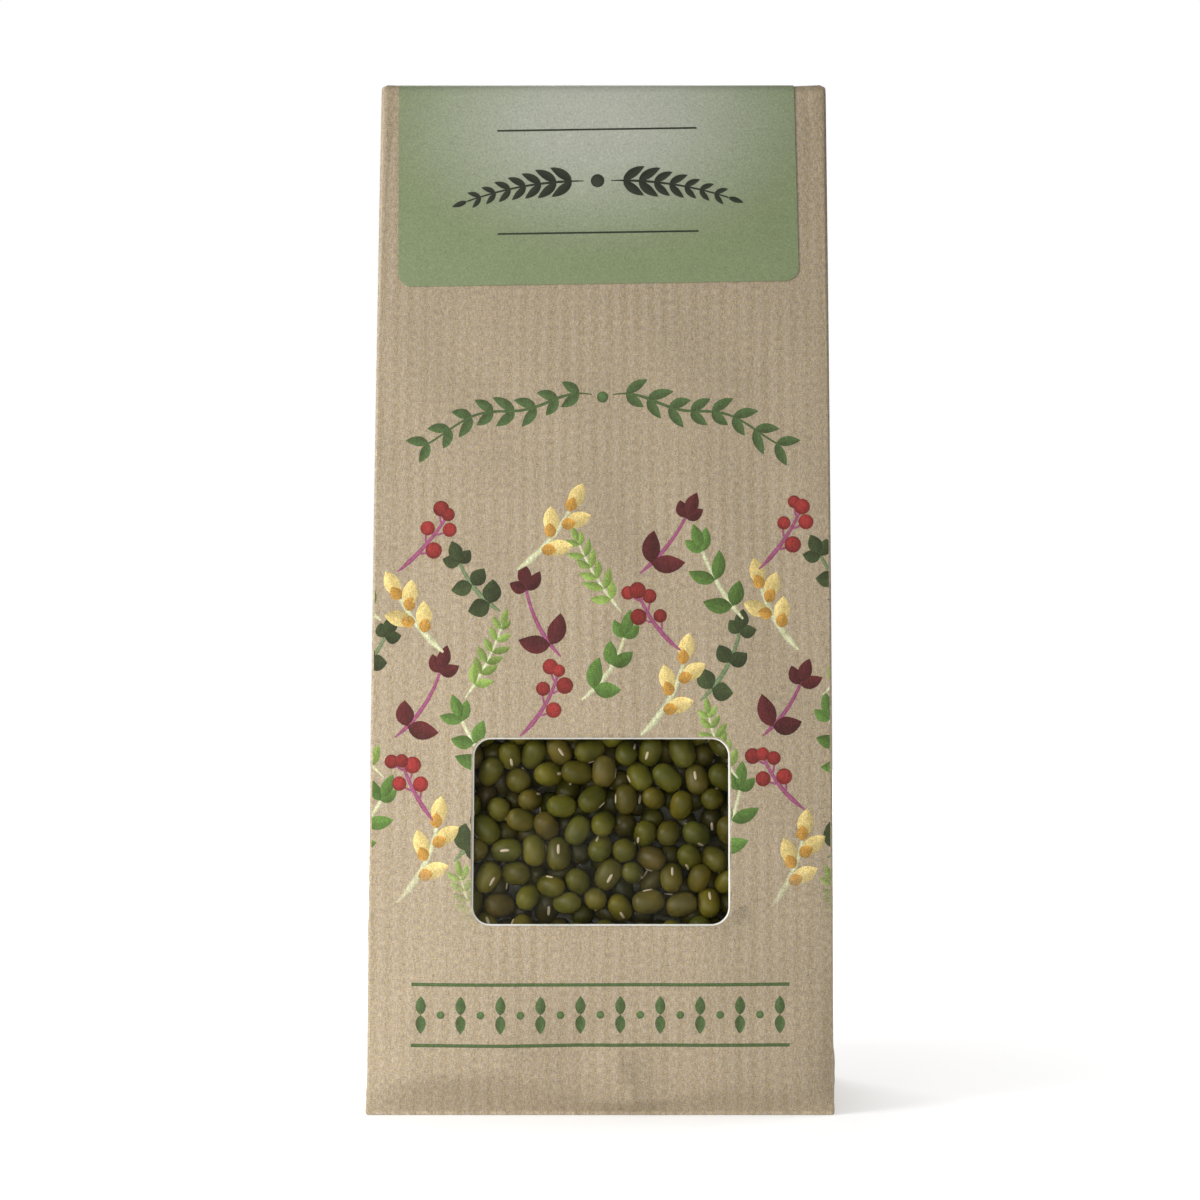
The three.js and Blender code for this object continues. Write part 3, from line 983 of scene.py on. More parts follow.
class Ink:
    """Flat printed shapes, in panel x and z, each a little above the last"""

    def __init__(self):
        self.places = []
        self.lifts = []
        self.tones = []
        self.faces = []
        self.level = 0

    def shape(self, places, tones, faces):
        start = sum(len(part) for part in self.places)
        self.level += 1
        self.places.append(np.asarray(places))
        self.lifts.append(np.full(len(places), INK_BASE + INK_STEP * self.level))
        self.tones.append(np.asarray(tones))
        self.faces += [[start + int(i) for i in face] for face in faces]

    def stem(self, line, width, tone, taper=True):
        """A ribbon along a line of points, thinner to its ends where it tapers"""
        line = np.asarray(line)
        along = np.gradient(line, axis=0)
        along /= np.linalg.norm(along, axis=1, keepdims=True)
        across = np.stack([-along[:, 1], along[:, 0]], axis=-1)
        t = np.linspace(0, 1, len(line))
        share = np.minimum(0.3 + 3 * t, 1 - 0.45 * t) if taper else np.ones_like(t)
        half = (width * share / 2)[:, None]
        columns = [line + across * half, line + across * half * 0.2, line - across * half]
        tone = np.array(tone)
        tones = np.tile([tone * 0.8, tone * 1.15, tone * 0.7], (len(line), 1))
        self.shape(np.stack(columns, axis=1).reshape(-1, 2), tones, grid_faces(len(line), 3))
        self.level += STEM_CLEAR

    def rule(self, z, reach, steps, width, tone):
        """A level line of even width, on the paper itself"""
        across = np.linspace(-reach, reach, steps)
        self.level = 0
        self.stem(np.stack([across, np.full_like(across, z)], axis=-1), width, tone, taper=False)

    def leaf(self, base, heading, length, width, tone, bend=0.0, point=0.85):
        """A leaf with a lighter and a darker half and a paler rib"""
        t = np.linspace(0, 1, LEAF_STEPS)
        spine, turned = curve_line(base, heading, length, bend, LEAF_STEPS)
        across = np.stack([-np.sin(turned), np.cos(turned)], axis=-1)
        half = (width / 2 * np.sin(np.pi * t**point) ** 0.85)[:, None]
        columns = [spine + across * half * share for share in LEAF_SHARES]
        fade = np.linspace(0.88, 1.12, LEAF_STEPS)[:, None]
        shades = [np.array(tone) * shade * fade for shade in LEAF_SHADES]
        places = np.stack(columns, axis=1).reshape(-1, 2)
        tones = np.stack(shades, axis=1).reshape(-1, 3)
        self.shape(places, tones, grid_faces(LEAF_STEPS, len(LEAF_SHARES)))

    def berry(self, middle, radius, tone):
        """A round fruit, lit from the upper left"""
        count = BERRY_SIDES
        angles = np.linspace(0, math.tau, count + 1)[:-1]
        rim = np.stack([np.cos(angles), np.sin(angles)], axis=-1) * radius
        core = rim * 0.45 + np.array([-0.25, 0.3]) * radius
        places = np.vstack([rim, core]) + np.asarray(middle)
        tone = np.array(tone)
        tones = np.vstack([np.tile(tone * 0.75, (count, 1)), np.tile(tone * 1.5, (count, 1))])
        faces = [(i, (i + 1) % count, count + (i + 1) % count, count + i) for i in range(count)]
        self.shape(places, tones, [*faces, range(count, 2 * count)])

    def piece(self, name, surface, flat, material, cover):
        places = np.vstack(self.places)
        x, z = places[:, 0], places[:, 1]
        made = new_piece(name, surface(x, z, np.concatenate(self.lifts)), self.faces, [material])
        set_flat_uv(made.data, flat(x, z))
        set_colour(made.data, "ink", np.vstack(self.tones))
        set_value(made.data, "cover", cover(x, z))
        made.visible_shadow = False
        return made


def curve_line(start, heading, length, bend, steps=STEM_STEPS):
    """Points along an arc that turns by the bend over its length"""
    t = np.linspace(0, 1, steps)
    turned = heading + bend * t
    step = np.stack([np.cos(turned), np.sin(turned)], axis=-1) * length / (steps - 1)
    return np.asarray(start) + np.vstack([[0, 0], np.cumsum(step[:-1], axis=0)]), turned


def at_share(line, turned, share):
    """Place and heading at a share of a line's length"""
    spot = share * (len(line) - 1)
    index = np.arange(len(line))
    place = (np.interp(spot, index, line[:, 0]), np.interp(spot, index, line[:, 1]))
    return place, np.interp(spot, index, turned)


def leafy_sprig(ink, draw, twig, tone, stem, leaf, pairs, opening):
    """A stem with leaves in pairs, smaller to the tip, and one leaf at its end"""
    line, turned = curve_line(*twig)
    ink.stem(line, stem[1], stem[0])
    for step in range(pairs):
        share = 0.2 + 0.75 * step / max(pairs - 1, 1)
        place, direction = at_share(line, turned, share)
        size = 1 - 0.35 * share
        for side in (1, -1):
            angle = direction + side * (opening + draw.uniform(-0.2, 0.2))
            shade = np.array(tone) * draw.uniform(0.75, 1.25)
            long = leaf[0] * size * draw.uniform(0.85, 1.15)
            ink.leaf(place, angle, long, leaf[1] * size, shade, -side * draw.uniform(0.1, 0.6))
    place, direction = at_share(line, turned, 1)
    ink.leaf(place, direction, leaf[0] * 0.75, leaf[1] * 0.7, tone)


def berry_sprig(ink, draw, twig, tone, stem, radius, count):
    """A stem with fruit on short stalks"""
    line, turned = curve_line(*twig)
    ink.stem(line, stem[1], stem[0])
    for step in range(count):
        place, direction = at_share(line, turned, 0.35 + 0.65 * step / (count - 1))
        side = 1 if step % 2 else -1
        if step < count - 1:
            stalk, _ = curve_line(place, direction + side * 0.8, 2.6 * MM, -side * 0.5, 5)
            ink.stem(stalk, stem[1] / 2, stem[0])
            place = stalk[-1]
        ink.berry(place, radius * draw.uniform(0.85, 1.15), np.array(tone) * draw.uniform(0.7, 1.2))


def bud_sprig(ink, draw, twig, stem):
    """A pale stem with closed cream buds in small cups"""
    line, turned = curve_line(*twig)
    ink.stem(line, stem[1], stem[0])
    for step in range(4):
        place, direction = at_share(line, turned, 0.4 + 0.2 * step)
        side = 1 if step % 2 else -1
        angle = direction + (0 if step == 3 else side * 0.7)
        ink.leaf(place, angle, 5 * MM, 2.5 * MM, np.array(CREAM) * draw.uniform(0.8, 1.0), 0, 1.1)
        ink.leaf(place, angle + 0.15 * side, 2.4 * MM, 1.9 * MM, OCHRE)


SPRIG_PITCH = (9.4 * MM, 12.6 * MM)
SPRIG_ROWS = 5
SPRIG_LOW = 31.5 * MM
SPRIG_LENGTH = 11.5 * MM
SPRIG_LEAN = math.radians(32)
PRINT_EDGE = 0.35 * MM


def sprig_repeat(ink, draw, form):
    """Small twigs of six kinds in a half-drop repeat, leaning left and right by turns"""
    columns = math.ceil(form.width / 2 / SPRIG_PITCH[0])
    top = form.window_middle + form.window_height / 2
    for column in range(-columns, columns + 1):
        for row in range(SPRIG_ROWS):
            x = column * SPRIG_PITCH[0] + draw.uniform(-0.5, 0.5) * MM
            z = SPRIG_LOW + (row + column % 2 / 2) * SPRIG_PITCH[1] + draw.uniform(-0.8, 0.8) * MM
            if abs(x) < form.window_width / 2 - 2 * MM and z < top + 1 * MM:
                continue
            side = 1 if (column + row) % 2 else -1
            length = SPRIG_LENGTH * draw.uniform(0.9, 1.15)
            bend = side * draw.uniform(0.3, 0.7)
            heading = math.pi / 2 - side * SPRIG_LEAN - bend / 2 + draw.uniform(-0.15, 0.15)
            way = heading + bend / 2
            start = (x - length / 2 * math.cos(way), z - length / 2 * math.sin(way))
            ink.level = 6 * ((column + 2 * row) % 4)
            sprig(ink, draw, (start, heading, length, bend), (5 * column + 2 * row) % KINDS)


# Leafy kinds of twig: leaf colour, stem colour and width, leaf length and width, pairs, and opening
LEAFY_KINDS = {
    0: (MID_GREEN, (PALE_STEM, 1 * MM), (5.2 * MM, 2.7 * MM), 3, 0.85),
    1: (BURGUNDY, (MAGENTA, 0.8 * MM), (5 * MM, 3.1 * MM), 2, 1.0),
    2: (LIGHT_GREEN, (PALE_STEM, 0.7 * MM), (3.6 * MM, 1.5 * MM), 6, 0.9),
    4: (DARK_GREEN, (SAGE, 0.9 * MM), (4.2 * MM, 3.2 * MM), 3, 1.1),
}
BUD_KIND = 3
KINDS = 6


def sprig(ink, draw, twig, kind):
    if kind in LEAFY_KINDS:
        leafy_sprig(ink, draw, twig, *LEAFY_KINDS[kind])
    elif kind == BUD_KIND:
        bud_sprig(ink, draw, twig, (PALE_STEM, 1.2 * MM))
    else:
        berry_sprig(ink, draw, twig, RED, (MAGENTA, 0.8 * MM), 1.15 * MM, 5)


VINE_STEPS = 40
VINE_LEAVES = range(3, VINE_STEPS, 5)


def vine(ink, draw):
    """A plain arched vine between the label and the sprigs"""
    reach, low, rise = 28 * MM, 104 * MM, 7 * MM
    for side in (1, -1):
        share = np.linspace(0.06, 1, VINE_STEPS)
        sway = 0.7 * MM * np.sin(share * 3.5 * math.pi)
        line = np.stack([side * reach * share, low + rise * (1 - share**2) + sway], axis=-1)
        ink.stem(line, 0.55 * MM, RULE_GREEN)
        headings = np.arctan2(*np.gradient(line, axis=0).T[::-1])
        for index in VINE_LEAVES:
            ink.level = STEM_CLEAR + 1
            for turn in (1, -1):
                long = 3.9 * MM * draw.uniform(0.85, 1.1)
                heading = headings[index] + 0.75 * turn
                ink.leaf(line[index], heading, long, 1.6 * MM, RULE_GREEN, -0.3 * turn)
    ink.berry((0, low + rise), 0.9 * MM, RULE_GREEN)


def ruled_band(ink):
    """Two plain rules with a row of small leaves between them, below the window"""
    reach, middle, apart = 29 * MM, 15.5 * MM, 4.6 * MM
    for z in (middle - apart, middle + apart):
        ink.rule(z, reach, 240, 0.5 * MM, RULE_GREEN)
    for index, x in enumerate(np.linspace(-reach + 1.5 * MM, reach - 1.5 * MM, 19)):
        ink.level = 0
        if index % 2:
            ink.berry((x, middle), 0.6 * MM, RULE_GREEN)
            continue
        for side in (1, -1):
            ink.leaf((x, middle), math.pi / 2 * side, 2.9 * MM, 1.6 * MM, RULE_GREEN)


def trim_sides(mesh, reach):
    """Cuts off what lies further than the reach from the middle"""
    work = bmesh.new()
    work.from_mesh(mesh)
    for side in (1, -1):
        parts = [*work.verts, *work.edges, *work.faces]
        edge, outward = Vector((side * reach, 0, 0)), Vector((side, 0, 0))
        bmesh.ops.bisect_plane(
            work, geom=parts, dist=1e-8, plane_co=edge, plane_no=outward, clear_outer=True
        )
    work.to_mesh(mesh)
    work.free()


def front_ink(form, name, ink, material, cover):
    """Lays flat printed shapes on the front panel, clear of the window and the side folds"""

    def surface(x, z, lift):
        return np.stack([x, front_y(form, x, z) - lift, z], axis=-1)

    def flat(x, z):
        return np.stack([x + form.width / 2, z], axis=-1)

    made = ink.piece(name, surface, flat, material, cover)
    cut_window(made.data, window_outline(form, 2 * CUT_BAND), form.window_middle)
    trim_sides(made.data, form.width / 2 - form.flare - PRINT_EDGE)
    skew_mesh(form, made.data)
    settle_piece(made, "kraft_paper")


def make_print(form, colours):
    draw = random.Random(form.print_seed)
    material = ink_material(colours)
    sprigs = Ink()
    sprig_repeat(sprigs, draw, form)
    front_ink(form, "printed_sprigs", sprigs, material, lambda x, z: 0.95 * smooth(z, *PRINT_FADE))
    borders = Ink()
    vine(borders, draw)
    ruled_band(borders)
    front_ink(form, "printed_borders", borders, material, lambda x, z: np.full_like(z, 0.9))


# Window film

FILM_LAP = 4 * MM
FILM_THICKNESS = 0.06 * MM
FILM_WAVE = 0.05 * MM
FILM_GRID = (49, 37)


def make_film(form):
    reach = form.window_width / 2 + FILM_LAP
    rise = form.window_height / 2 + FILM_LAP
    columns, rows = FILM_GRID
    heights = form.window_middle + np.linspace(-rise, rise, rows)
    x, z = np.meshgrid(np.linspace(-reach, reach, columns), heights)
    behind = form.paper * 1.5 + FILM_WAVE * (1 + ripple(3 * x, 3 * z)) / 2
    points = front_point(form, x, z, -behind)
    film = new_piece("film_sheet", points, grid_faces(rows, columns), [film_material()])
    thicken(film, FILM_THICKNESS)
    settle_piece(film, "clear_film", "window_film")


# Label

LABEL_THICKNESS = 0.11 * MM
LABEL_RADIUS = 2.2 * MM
LABEL_STEP = 3 * MM
LABEL_LIFT = 0.05 * MM
LABEL_COLUMNS = 65
LABEL_ROWS = 130


def label_place(form, across, down, lift):
    """A point of the label from its place on the flat sheet: down is positive in front, negative behind"""
    tilt = form.label_tilt
    x = form.label_shift + across * math.cos(tilt) + down * math.sin(tilt)
    path = down * math.cos(tilt) - across * math.sin(tilt)
    half_arc = fold_arc(form) / 2
    low = fold_low(form)
    angle = np.clip((1 - path / half_arc) * math.pi / 2, 0, math.pi)
    arc_y, arc_z = fold_point(form, angle, lift)
    z = np.where(path > 0, low - (path - half_arc), low + path + half_arc)
    flat_z = np.minimum(z, low)
    step = smooth(form.height - form.flap_drop - flat_z, 0, LABEL_STEP)
    behind = flap_y(form, flat_z) * (1 - step) + back_y(form, x, flat_z) * step
    flat_y = np.where(path > 0, front_y(form, x, flat_z) - lift, behind + lift)
    on_arc = np.abs(path) < half_arc
    points = np.stack([x, np.where(on_arc, arc_y, flat_y), np.where(on_arc, arc_z, z)], axis=-1)
    return skewed(form, points)


def label_reach(form):
    """The label's ends on its flat sheet: below the fold in front, and behind as a negative"""
    spare = fold_arc(form) / 2 - form.fold_radius
    return form.label_front_drop + spare, -(form.label_back_drop + spare)


def label_half_width(form, down, ends):
    near = np.minimum(np.minimum(ends[0] - down, down - ends[1]), LABEL_RADIUS)
    inset = LABEL_RADIUS - np.sqrt(np.maximum(LABEL_RADIUS**2 - (LABEL_RADIUS - near) ** 2, 0))
    return form.label_width / 2 - inset


def make_label(form, colours):
    ends = label_reach(form)
    round_end = LABEL_RADIUS * (1 - np.cos(np.linspace(0, math.pi / 2, 9)))
    straight = np.linspace(ends[0] - LABEL_RADIUS, ends[1] + LABEL_RADIUS, LABEL_ROWS)[1:-1]
    rows = np.concatenate([ends[0] - round_end, straight, (ends[1] + round_end)[::-1]])
    share = np.linspace(-1, 1, LABEL_COLUMNS)
    across = label_half_width(form, rows, ends)[:, None] * share
    down = np.broadcast_to(rows[:, None], across.shape)
    points = label_place(form, across, down, LABEL_LIFT)
    label = new_piece("label_sheet", points, grid_faces(*across.shape), [label_material(colours)])
    set_flat_uv(label.data, np.stack([across.ravel(), down.ravel()], axis=-1))
    thicken(label, LABEL_THICKNESS, inward=False)
    crisp_rim(label)
    settle_piece(label, "label_paper", "top_label")


def make_label_ornament(form):
    """A plain ruled frame with a small leafy spray, printed on the label's front"""
    draw = random.Random(form.print_seed + 1)
    ink = Ink()
    dark = srgb(44, 48, 34)
    middle = 17 * MM
    for side in (1, -1):
        heading = 0 if side == 1 else math.pi
        line, turned = curve_line((side * 2.2 * MM, middle), heading, 19 * MM, side * 0.35)
        ink.stem(line, 0.45 * MM, dark)
        for step in range(7):
            place, direction = at_share(line, turned, 0.1 + 0.13 * step)
            size = (4.3 - 0.35 * step) * MM * draw.uniform(0.95, 1.05)
            ink.level = STEM_CLEAR + 1
            for turn in (1, -1):
                ink.leaf(place, direction + turn * 0.75, size, size * 0.36, dark, -turn * 0.3)
        place, direction = at_share(line, turned, 1)
        ink.leaf(place, direction, 2.6 * MM, 0.9 * MM, dark)
    ink.berry((0, middle), 1.1 * MM, dark)
    for down in (8.5 * MM, 25.5 * MM):
        ink.rule(down, 16 * MM, 40, 0.3 * MM, dark)

    def surface(x, z, lift):
        return label_place(form, x, z, LABEL_LIFT + LABEL_THICKNESS + lift)

    def flat(x, z):
        return np.stack([x, z], axis=-1)

    made = ink.piece("label_ornament", surface, flat, label_ink_material(), lambda x, z: np.ones_like(x))
    made.data.flip_normals()
    settle_piece(made, "label_paper")


# Beans

BEAN_SPREAD = 0.08
BEAN_PITCH = (4.6 * MM, 3.95 * MM)
BEAN_STAGGER = 0.25
BEAN_JITTER = 0.7 * MM
BEAN_SINK = 0.9 * MM
FILL_CLEAR = 1.25 * MM
FILL_GAP = 0.3 * MM
CORE_INSET = 4.25 * MM
BASE_THICKNESS = 1.2 * MM
HIDDEN_PITCH = 9.5 * MM
LAYERS_BEHIND = 2
# Beans in each row further in are painted darker by these factors: painted shade in the gaps between the
# front beans
LAYER_PAINTED_SHADE = (1, 0.45, 0.22)
LAYER_PITCH = 3.5 * MM
SETTLE_STEPS = 130
BALL_SHARES = (0.82, 0.985, 0.82)
WALL_CLEAR = (3.5 * MM, 3 * MM)
TWIST_ARM = 2.6
BEAN_PUSH, FILM_PUSH, WALL_PUSH = 0.22, 0.5, 0.3
FORWARD_STEP = 0.012 * MM
SHOWN_DETAIL, HIDDEN_DETAIL = (20, 12), (14, 9)
CORE_GRID = (40, 160)
CORE_DRAWN_IN = 1.6 * MM
# The core is painted at this share of the bean colour: painted shade deep in the fill
CORE_PAINTED_SHADE = 0.25
LUMP_HEIGHT = 0.4 * MM
SCAR_SIZE = (0.31, 0.06, 0.125)
SCAR_PLACE = (0.06, 0.935, 0)
SEED_BLUNTNESS = (0.8, 0.85)
SCAR_SIDE_FLATNESS = 0.94


def seeded_draw(seed):
    state = seed
    while True:
        state = state * 16807 % 2147483647
        yield state / 2147483647


def turn_matrix(turns):
    (sx, sy, sz), (cx, cy, cz) = np.sin(turns), np.cos(turns)
    about_x = np.array([[1, 0, 0], [0, cx, -sx], [0, sx, cx]])
    about_y = np.array([[cy, 0, sy], [0, 1, 0], [-sy, 0, cy]])
    about_z = np.array([[cz, -sz, 0], [sz, cz, 0], [0, 0, 1]])
    return about_x @ about_y @ about_z


def bean_half_sizes(form):
    return np.array([form.bean_length, form.bean_width, form.bean_thickness]) / 2


def window_bean_start(form, draw):
    """Places, turns and sizes of the beans in rows behind the window, with more rows further in"""

    def around(reach):
        return (2 * next(draw) - 1) * reach

    columns = math.ceil(form.window_width / BEAN_PITCH[0]) + 1
    rows = math.ceil(form.window_height / BEAN_PITCH[1]) + 1
    beans = []
    for layer in range(1 + LAYERS_BEHIND):
        for row in range(rows):
            for column in range(columns):
                stagger = BEAN_STAGGER if (row + layer) % 2 else -BEAN_STAGGER
                x = (column - (columns - 1) / 2 + stagger) * BEAN_PITCH[0] + around(BEAN_JITTER)
                z = form.window_middle + (row - (rows - 1) / 2) * BEAN_PITCH[1] + around(BEAN_JITTER)
                size = 1 + around(BEAN_SPREAD)
                turn = turn_matrix([around(math.pi), around(math.pi), around(math.pi)])
                half = bean_half_sizes(form) * size
                reach = math.sqrt(((turn[1] * half) ** 2).sum())
                deep = FILL_CLEAR + FILL_GAP + reach + BEAN_SINK * next(draw) + layer * LAYER_PITCH
                beans.append(((x, front_y(form, x, z) + deep, z), turn, size))
    return [np.array(part) for part in zip(*beans)]


def settle_beans(form, places, turns, sizes):
    """Pushes overlapping beans apart and back from the film, each bean as three balls in a row"""
    half = bean_half_sizes(form)
    ball = np.array(BALL_SHARES) * half[1]
    offsets = np.array([-1, 0, 1]) * (half[0] - ball[0])
    radii = (ball * sizes[:, None]).ravel()
    owner = np.repeat(np.arange(len(places)), 3)
    limit_x = form.window_width / 2 + WALL_CLEAR[0]
    low = form.window_middle - form.window_height / 2 - WALL_CLEAR[1]
    high = form.window_middle + form.window_height / 2 + WALL_CLEAR[1]
    apart = owner[:, None] != owner[None, :]
    reach = radii[:, None] + radii[None, :]
    for _ in range(SETTLE_STEPS):
        arms = turns[:, :, 0][:, None, :] * offsets[None, :, None] * sizes[:, None, None]
        balls = (places[:, None, :] + arms).reshape(-1, 3)
        gap = balls[:, None, :] - balls[None, :, :]
        distance = np.sqrt((gap**2).sum(axis=-1)) + 1e-9
        overlap = np.where(apart, np.maximum(reach - distance, 0), 0)
        push = (gap / distance[..., None] * overlap[..., None]).sum(axis=1) * BEAN_PUSH
        twist = np.cross(arms, push.reshape(-1, 3, 3)).sum(axis=1) / (TWIST_ARM * half[0]) ** 2
        film = front_y(form, balls[:, 0], balls[:, 2]) + FILL_CLEAR + FILL_GAP
        push[:, 1] += np.maximum(film + radii - balls[:, 1], 0) * FILM_PUSH
        push[:, 0] -= np.maximum(np.abs(balls[:, 0]) - limit_x, 0) * np.sign(balls[:, 0]) * WALL_PUSH
        push[:, 2] += np.maximum(low - balls[:, 2], 0) * WALL_PUSH
        push[:, 2] -= np.maximum(balls[:, 2] - high, 0) * WALL_PUSH
        push[:, 1] -= FORWARD_STEP
        places = places + push.reshape(-1, 3, 3).sum(axis=1)
        turns = turned_by(turns, twist)
    return places, turns


def turned_by(turns, twist):
    """Turn matrices after a small turn about each twist vector"""
    angle = np.linalg.norm(twist, axis=1)
    axis = twist / np.maximum(angle, 1e-12)[:, None]
    zero = np.zeros(len(axis))
    x, y, z = axis.T
    cross = np.array([[zero, -z, y], [z, zero, -x], [-y, x, zero]]).transpose(2, 0, 1)
    sine, cosine = np.sin(angle)[:, None, None], np.cos(angle)[:, None, None]
    return (np.eye(3) + sine * cross + (1 - cosine) * cross @ cross) @ turns


def bean_template(segments, rings):
    """A blunt oblong seed of half size 1, long in x, with a slightly flatter side where the scar is"""
    points = [(1, 0, 0)]
    for ring in range(1, rings):
        polar = math.pi * ring / rings
        along = math.copysign(abs(math.cos(polar)) ** SEED_BLUNTNESS[0], math.cos(polar))
        radius = math.sin(polar) ** SEED_BLUNTNESS[1]
        for step in range(segments):
            angle = math.tau * step / segments
            y, z = radius * math.cos(angle), radius * math.sin(angle)
            if y > 0:
                y *= SCAR_SIDE_FLATNESS
            points.append((along, y, z))
    points.append((-1, 0, 0))
    faces = [(0, 1 + i, 1 + (i + 1) % segments) for i in range(segments)]
    for ring in range(rings - 2):
        start = 1 + ring * segments
        for i in range(segments):
            j = (i + 1) % segments
            faces.append((start + i, start + segments + i, start + segments + j, start + j))
    tip = len(points) - 1
    last = 1 + (rings - 2) * segments
    faces += [(last + i, tip, last + (i + 1) % segments) for i in range(segments)]
    return np.array(points), faces


def scar_template():
    """The hilum: a low oval cushion on the side of the seed, in shares of the seed's half sizes"""
    points, faces = bean_template(12, 6)
    return points * np.array(SCAR_SIZE) + np.array(SCAR_PLACE), faces


def bean_colours(colours, count, seed):
    draw = np.random.default_rng(seed)
    tones = np.array(colours.bean) * np.ones((count, 1))
    brown = draw.random(count)[:, None] ** 4
    tones = tones * (1 - 0.8 * brown) + np.array(colours.bean_brown) * 0.8 * brown
    yellow = draw.uniform(0.9, 1.12, (count, 1))
    tones = tones * np.hstack([yellow, np.ones((count, 1)), np.ones((count, 1))])
    return tones * draw.uniform(0.75, 1.25, (count, 1))


def bean_mesh(form, name, places, turns, sizes, tones, detail, material):
    body, body_faces = bean_template(*detail)
    scar, scar_faces = scar_template()
    template = np.vstack([body, scar])
    faces = body_faces + [tuple(len(body) + i for i in face) for face in scar_faces]
    marks = np.r_[np.zeros(len(body)), np.ones(len(scar))]
    half = bean_half_sizes(form)
    points = [(template * half * s) @ turn.T + place for place, turn, s in zip(places, turns, sizes)]
    all_faces = []
    for index in range(len(points)):
        start = index * len(template)
        all_faces += [[start + i for i in face] for face in faces]
    piece = new_piece(name, np.vstack(points), all_faces, [material])
    set_colour(piece.data, "skin", np.repeat(tones, len(template), axis=0))
    set_value(piece.data, "scar", np.tile(marks, len(points)))
    return piece


def core_ring(form, z, inset):
    """The bag's outline at a height, drawn in by an inset"""
    wide, half, sunk = half_width(form, z), half_depth(form, z), gusset_depth(form, z)
    fold = math.atan2(half, sunk)
    corner = wide - inset / math.tan(fold / 2)
    middle = wide - sunk - inset / math.sin(fold)
    x = corner * np.linspace(-1, 1, 13)
    y = -(half + form.bulge * swell(z) * (1 - (x / wide) ** 2)) + inset
    side_x = np.array([(corner + middle) / 2 + GUSSET_BULGE * swell(z), middle])
    right_x = np.array([side_x[0], side_x[1], side_x[0]])
    right_y = np.array([(inset - half) / 2, 0, (half - inset) / 2])
    ring = np.concatenate([np.stack([x, y], axis=-1), np.stack([right_x, right_y], axis=-1)])
    ring = np.concatenate([ring, -ring])
    return np.c_[ring[:, 0], ring[:, 1] + middle_y(form, z), np.full(len(ring), z)]


def behind_window(form, place):
    wide = form.window_width / 2 + form.bean_length
    tall = form.window_height / 2 + form.bean_length
    return place[1] < 0 and abs(place[0]) < wide and abs(place[2] - form.window_middle) < tall


def hidden_bean_start(form, draw):
    """Beans on the sides, the back and the top of the fill, in wider rows"""
    places = []
    lowest = BASE_THICKNESS + FILL_GAP + form.bean_length / 2 * (1 + BEAN_SPREAD)
    rows = int((form.fill_height - lowest) / HIDDEN_PITCH) + 1
    for row in range(rows):
        for index, place in enumerate(core_ring(form, lowest + HIDDEN_PITCH * row, CORE_INSET)):
            if (index + row) % 2 == 0 and not behind_window(form, place):
                places.append(place)
    outline = core_ring(form, form.fill_height, CORE_INSET)
    reach_x, reach_y = outline[12][0], -outline[0][1]
    across, deep = int(2 * reach_x / HIDDEN_PITCH), int(2 * reach_y / HIDDEN_PITCH)
    for i in range(across):
        for j in range(deep):
            x = reach_x * ((2 * i + 1) / across - 1)
            y = reach_y * ((2 * j + 1) / deep - 1)
            places.append(np.array([x, y, form.fill_height]))
    turns = [turn_matrix([(2 * next(draw) - 1) * math.pi for _ in range(3)]) for _ in places]
    sizes = [1 + (2 * next(draw) - 1) * BEAN_SPREAD for _ in places]
    return np.array(places), np.array(turns), np.array(sizes)


def make_core(form, colours):
    """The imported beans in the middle, as one lumpy body"""
    heights = np.linspace(BASE_THICKNESS + FILL_GAP, form.fill_height, CORE_GRID[0])
    rings = np.array([core_ring(form, z, CORE_INSET + CORE_DRAWN_IN) for z in heights])
    fine = []
    for ring in rings:
        share = np.linspace(0, len(ring), CORE_GRID[1], endpoint=False)
        index = np.arange(len(ring) + 1)
        closed = np.vstack([ring, ring[:1]])
        fine.append(np.stack([np.interp(share, index, closed[:, k]) for k in range(3)], axis=-1))
    points = np.array(fine)
    lumps = np.sin(points[..., 0] / (0.7 * MM)) * np.sin(points[..., 2] / (0.75 * MM))
    lumps = lumps + np.sin(points[..., 1] / (0.8 * MM) + points[..., 2] / (1.1 * MM))
    outward = points.copy()
    outward[..., 2] = 0
    outward /= np.linalg.norm(outward, axis=-1, keepdims=True)
    points = points + outward * (lumps * LUMP_HEIGHT)[..., None]
    rows, columns = points.shape[:2]
    faces = [list(face) for face in grid_faces(rows, columns, closed=True)]
    faces += [list(range(columns))[::-1], [(rows - 1) * columns + i for i in range(columns)]]
    core = new_piece("bean_core", points, faces, [bean_material(colours)])
    # The core is painted dark: painted shade for the beans deep in the fill
    dark = np.array(colours.bean) * CORE_PAINTED_SHADE
    set_colour(core.data, "skin", np.tile(dark, (rows * columns, 1)))
    set_value(core.data, "scar", np.zeros(rows * columns))
    settle_piece(core, "bean_skin")


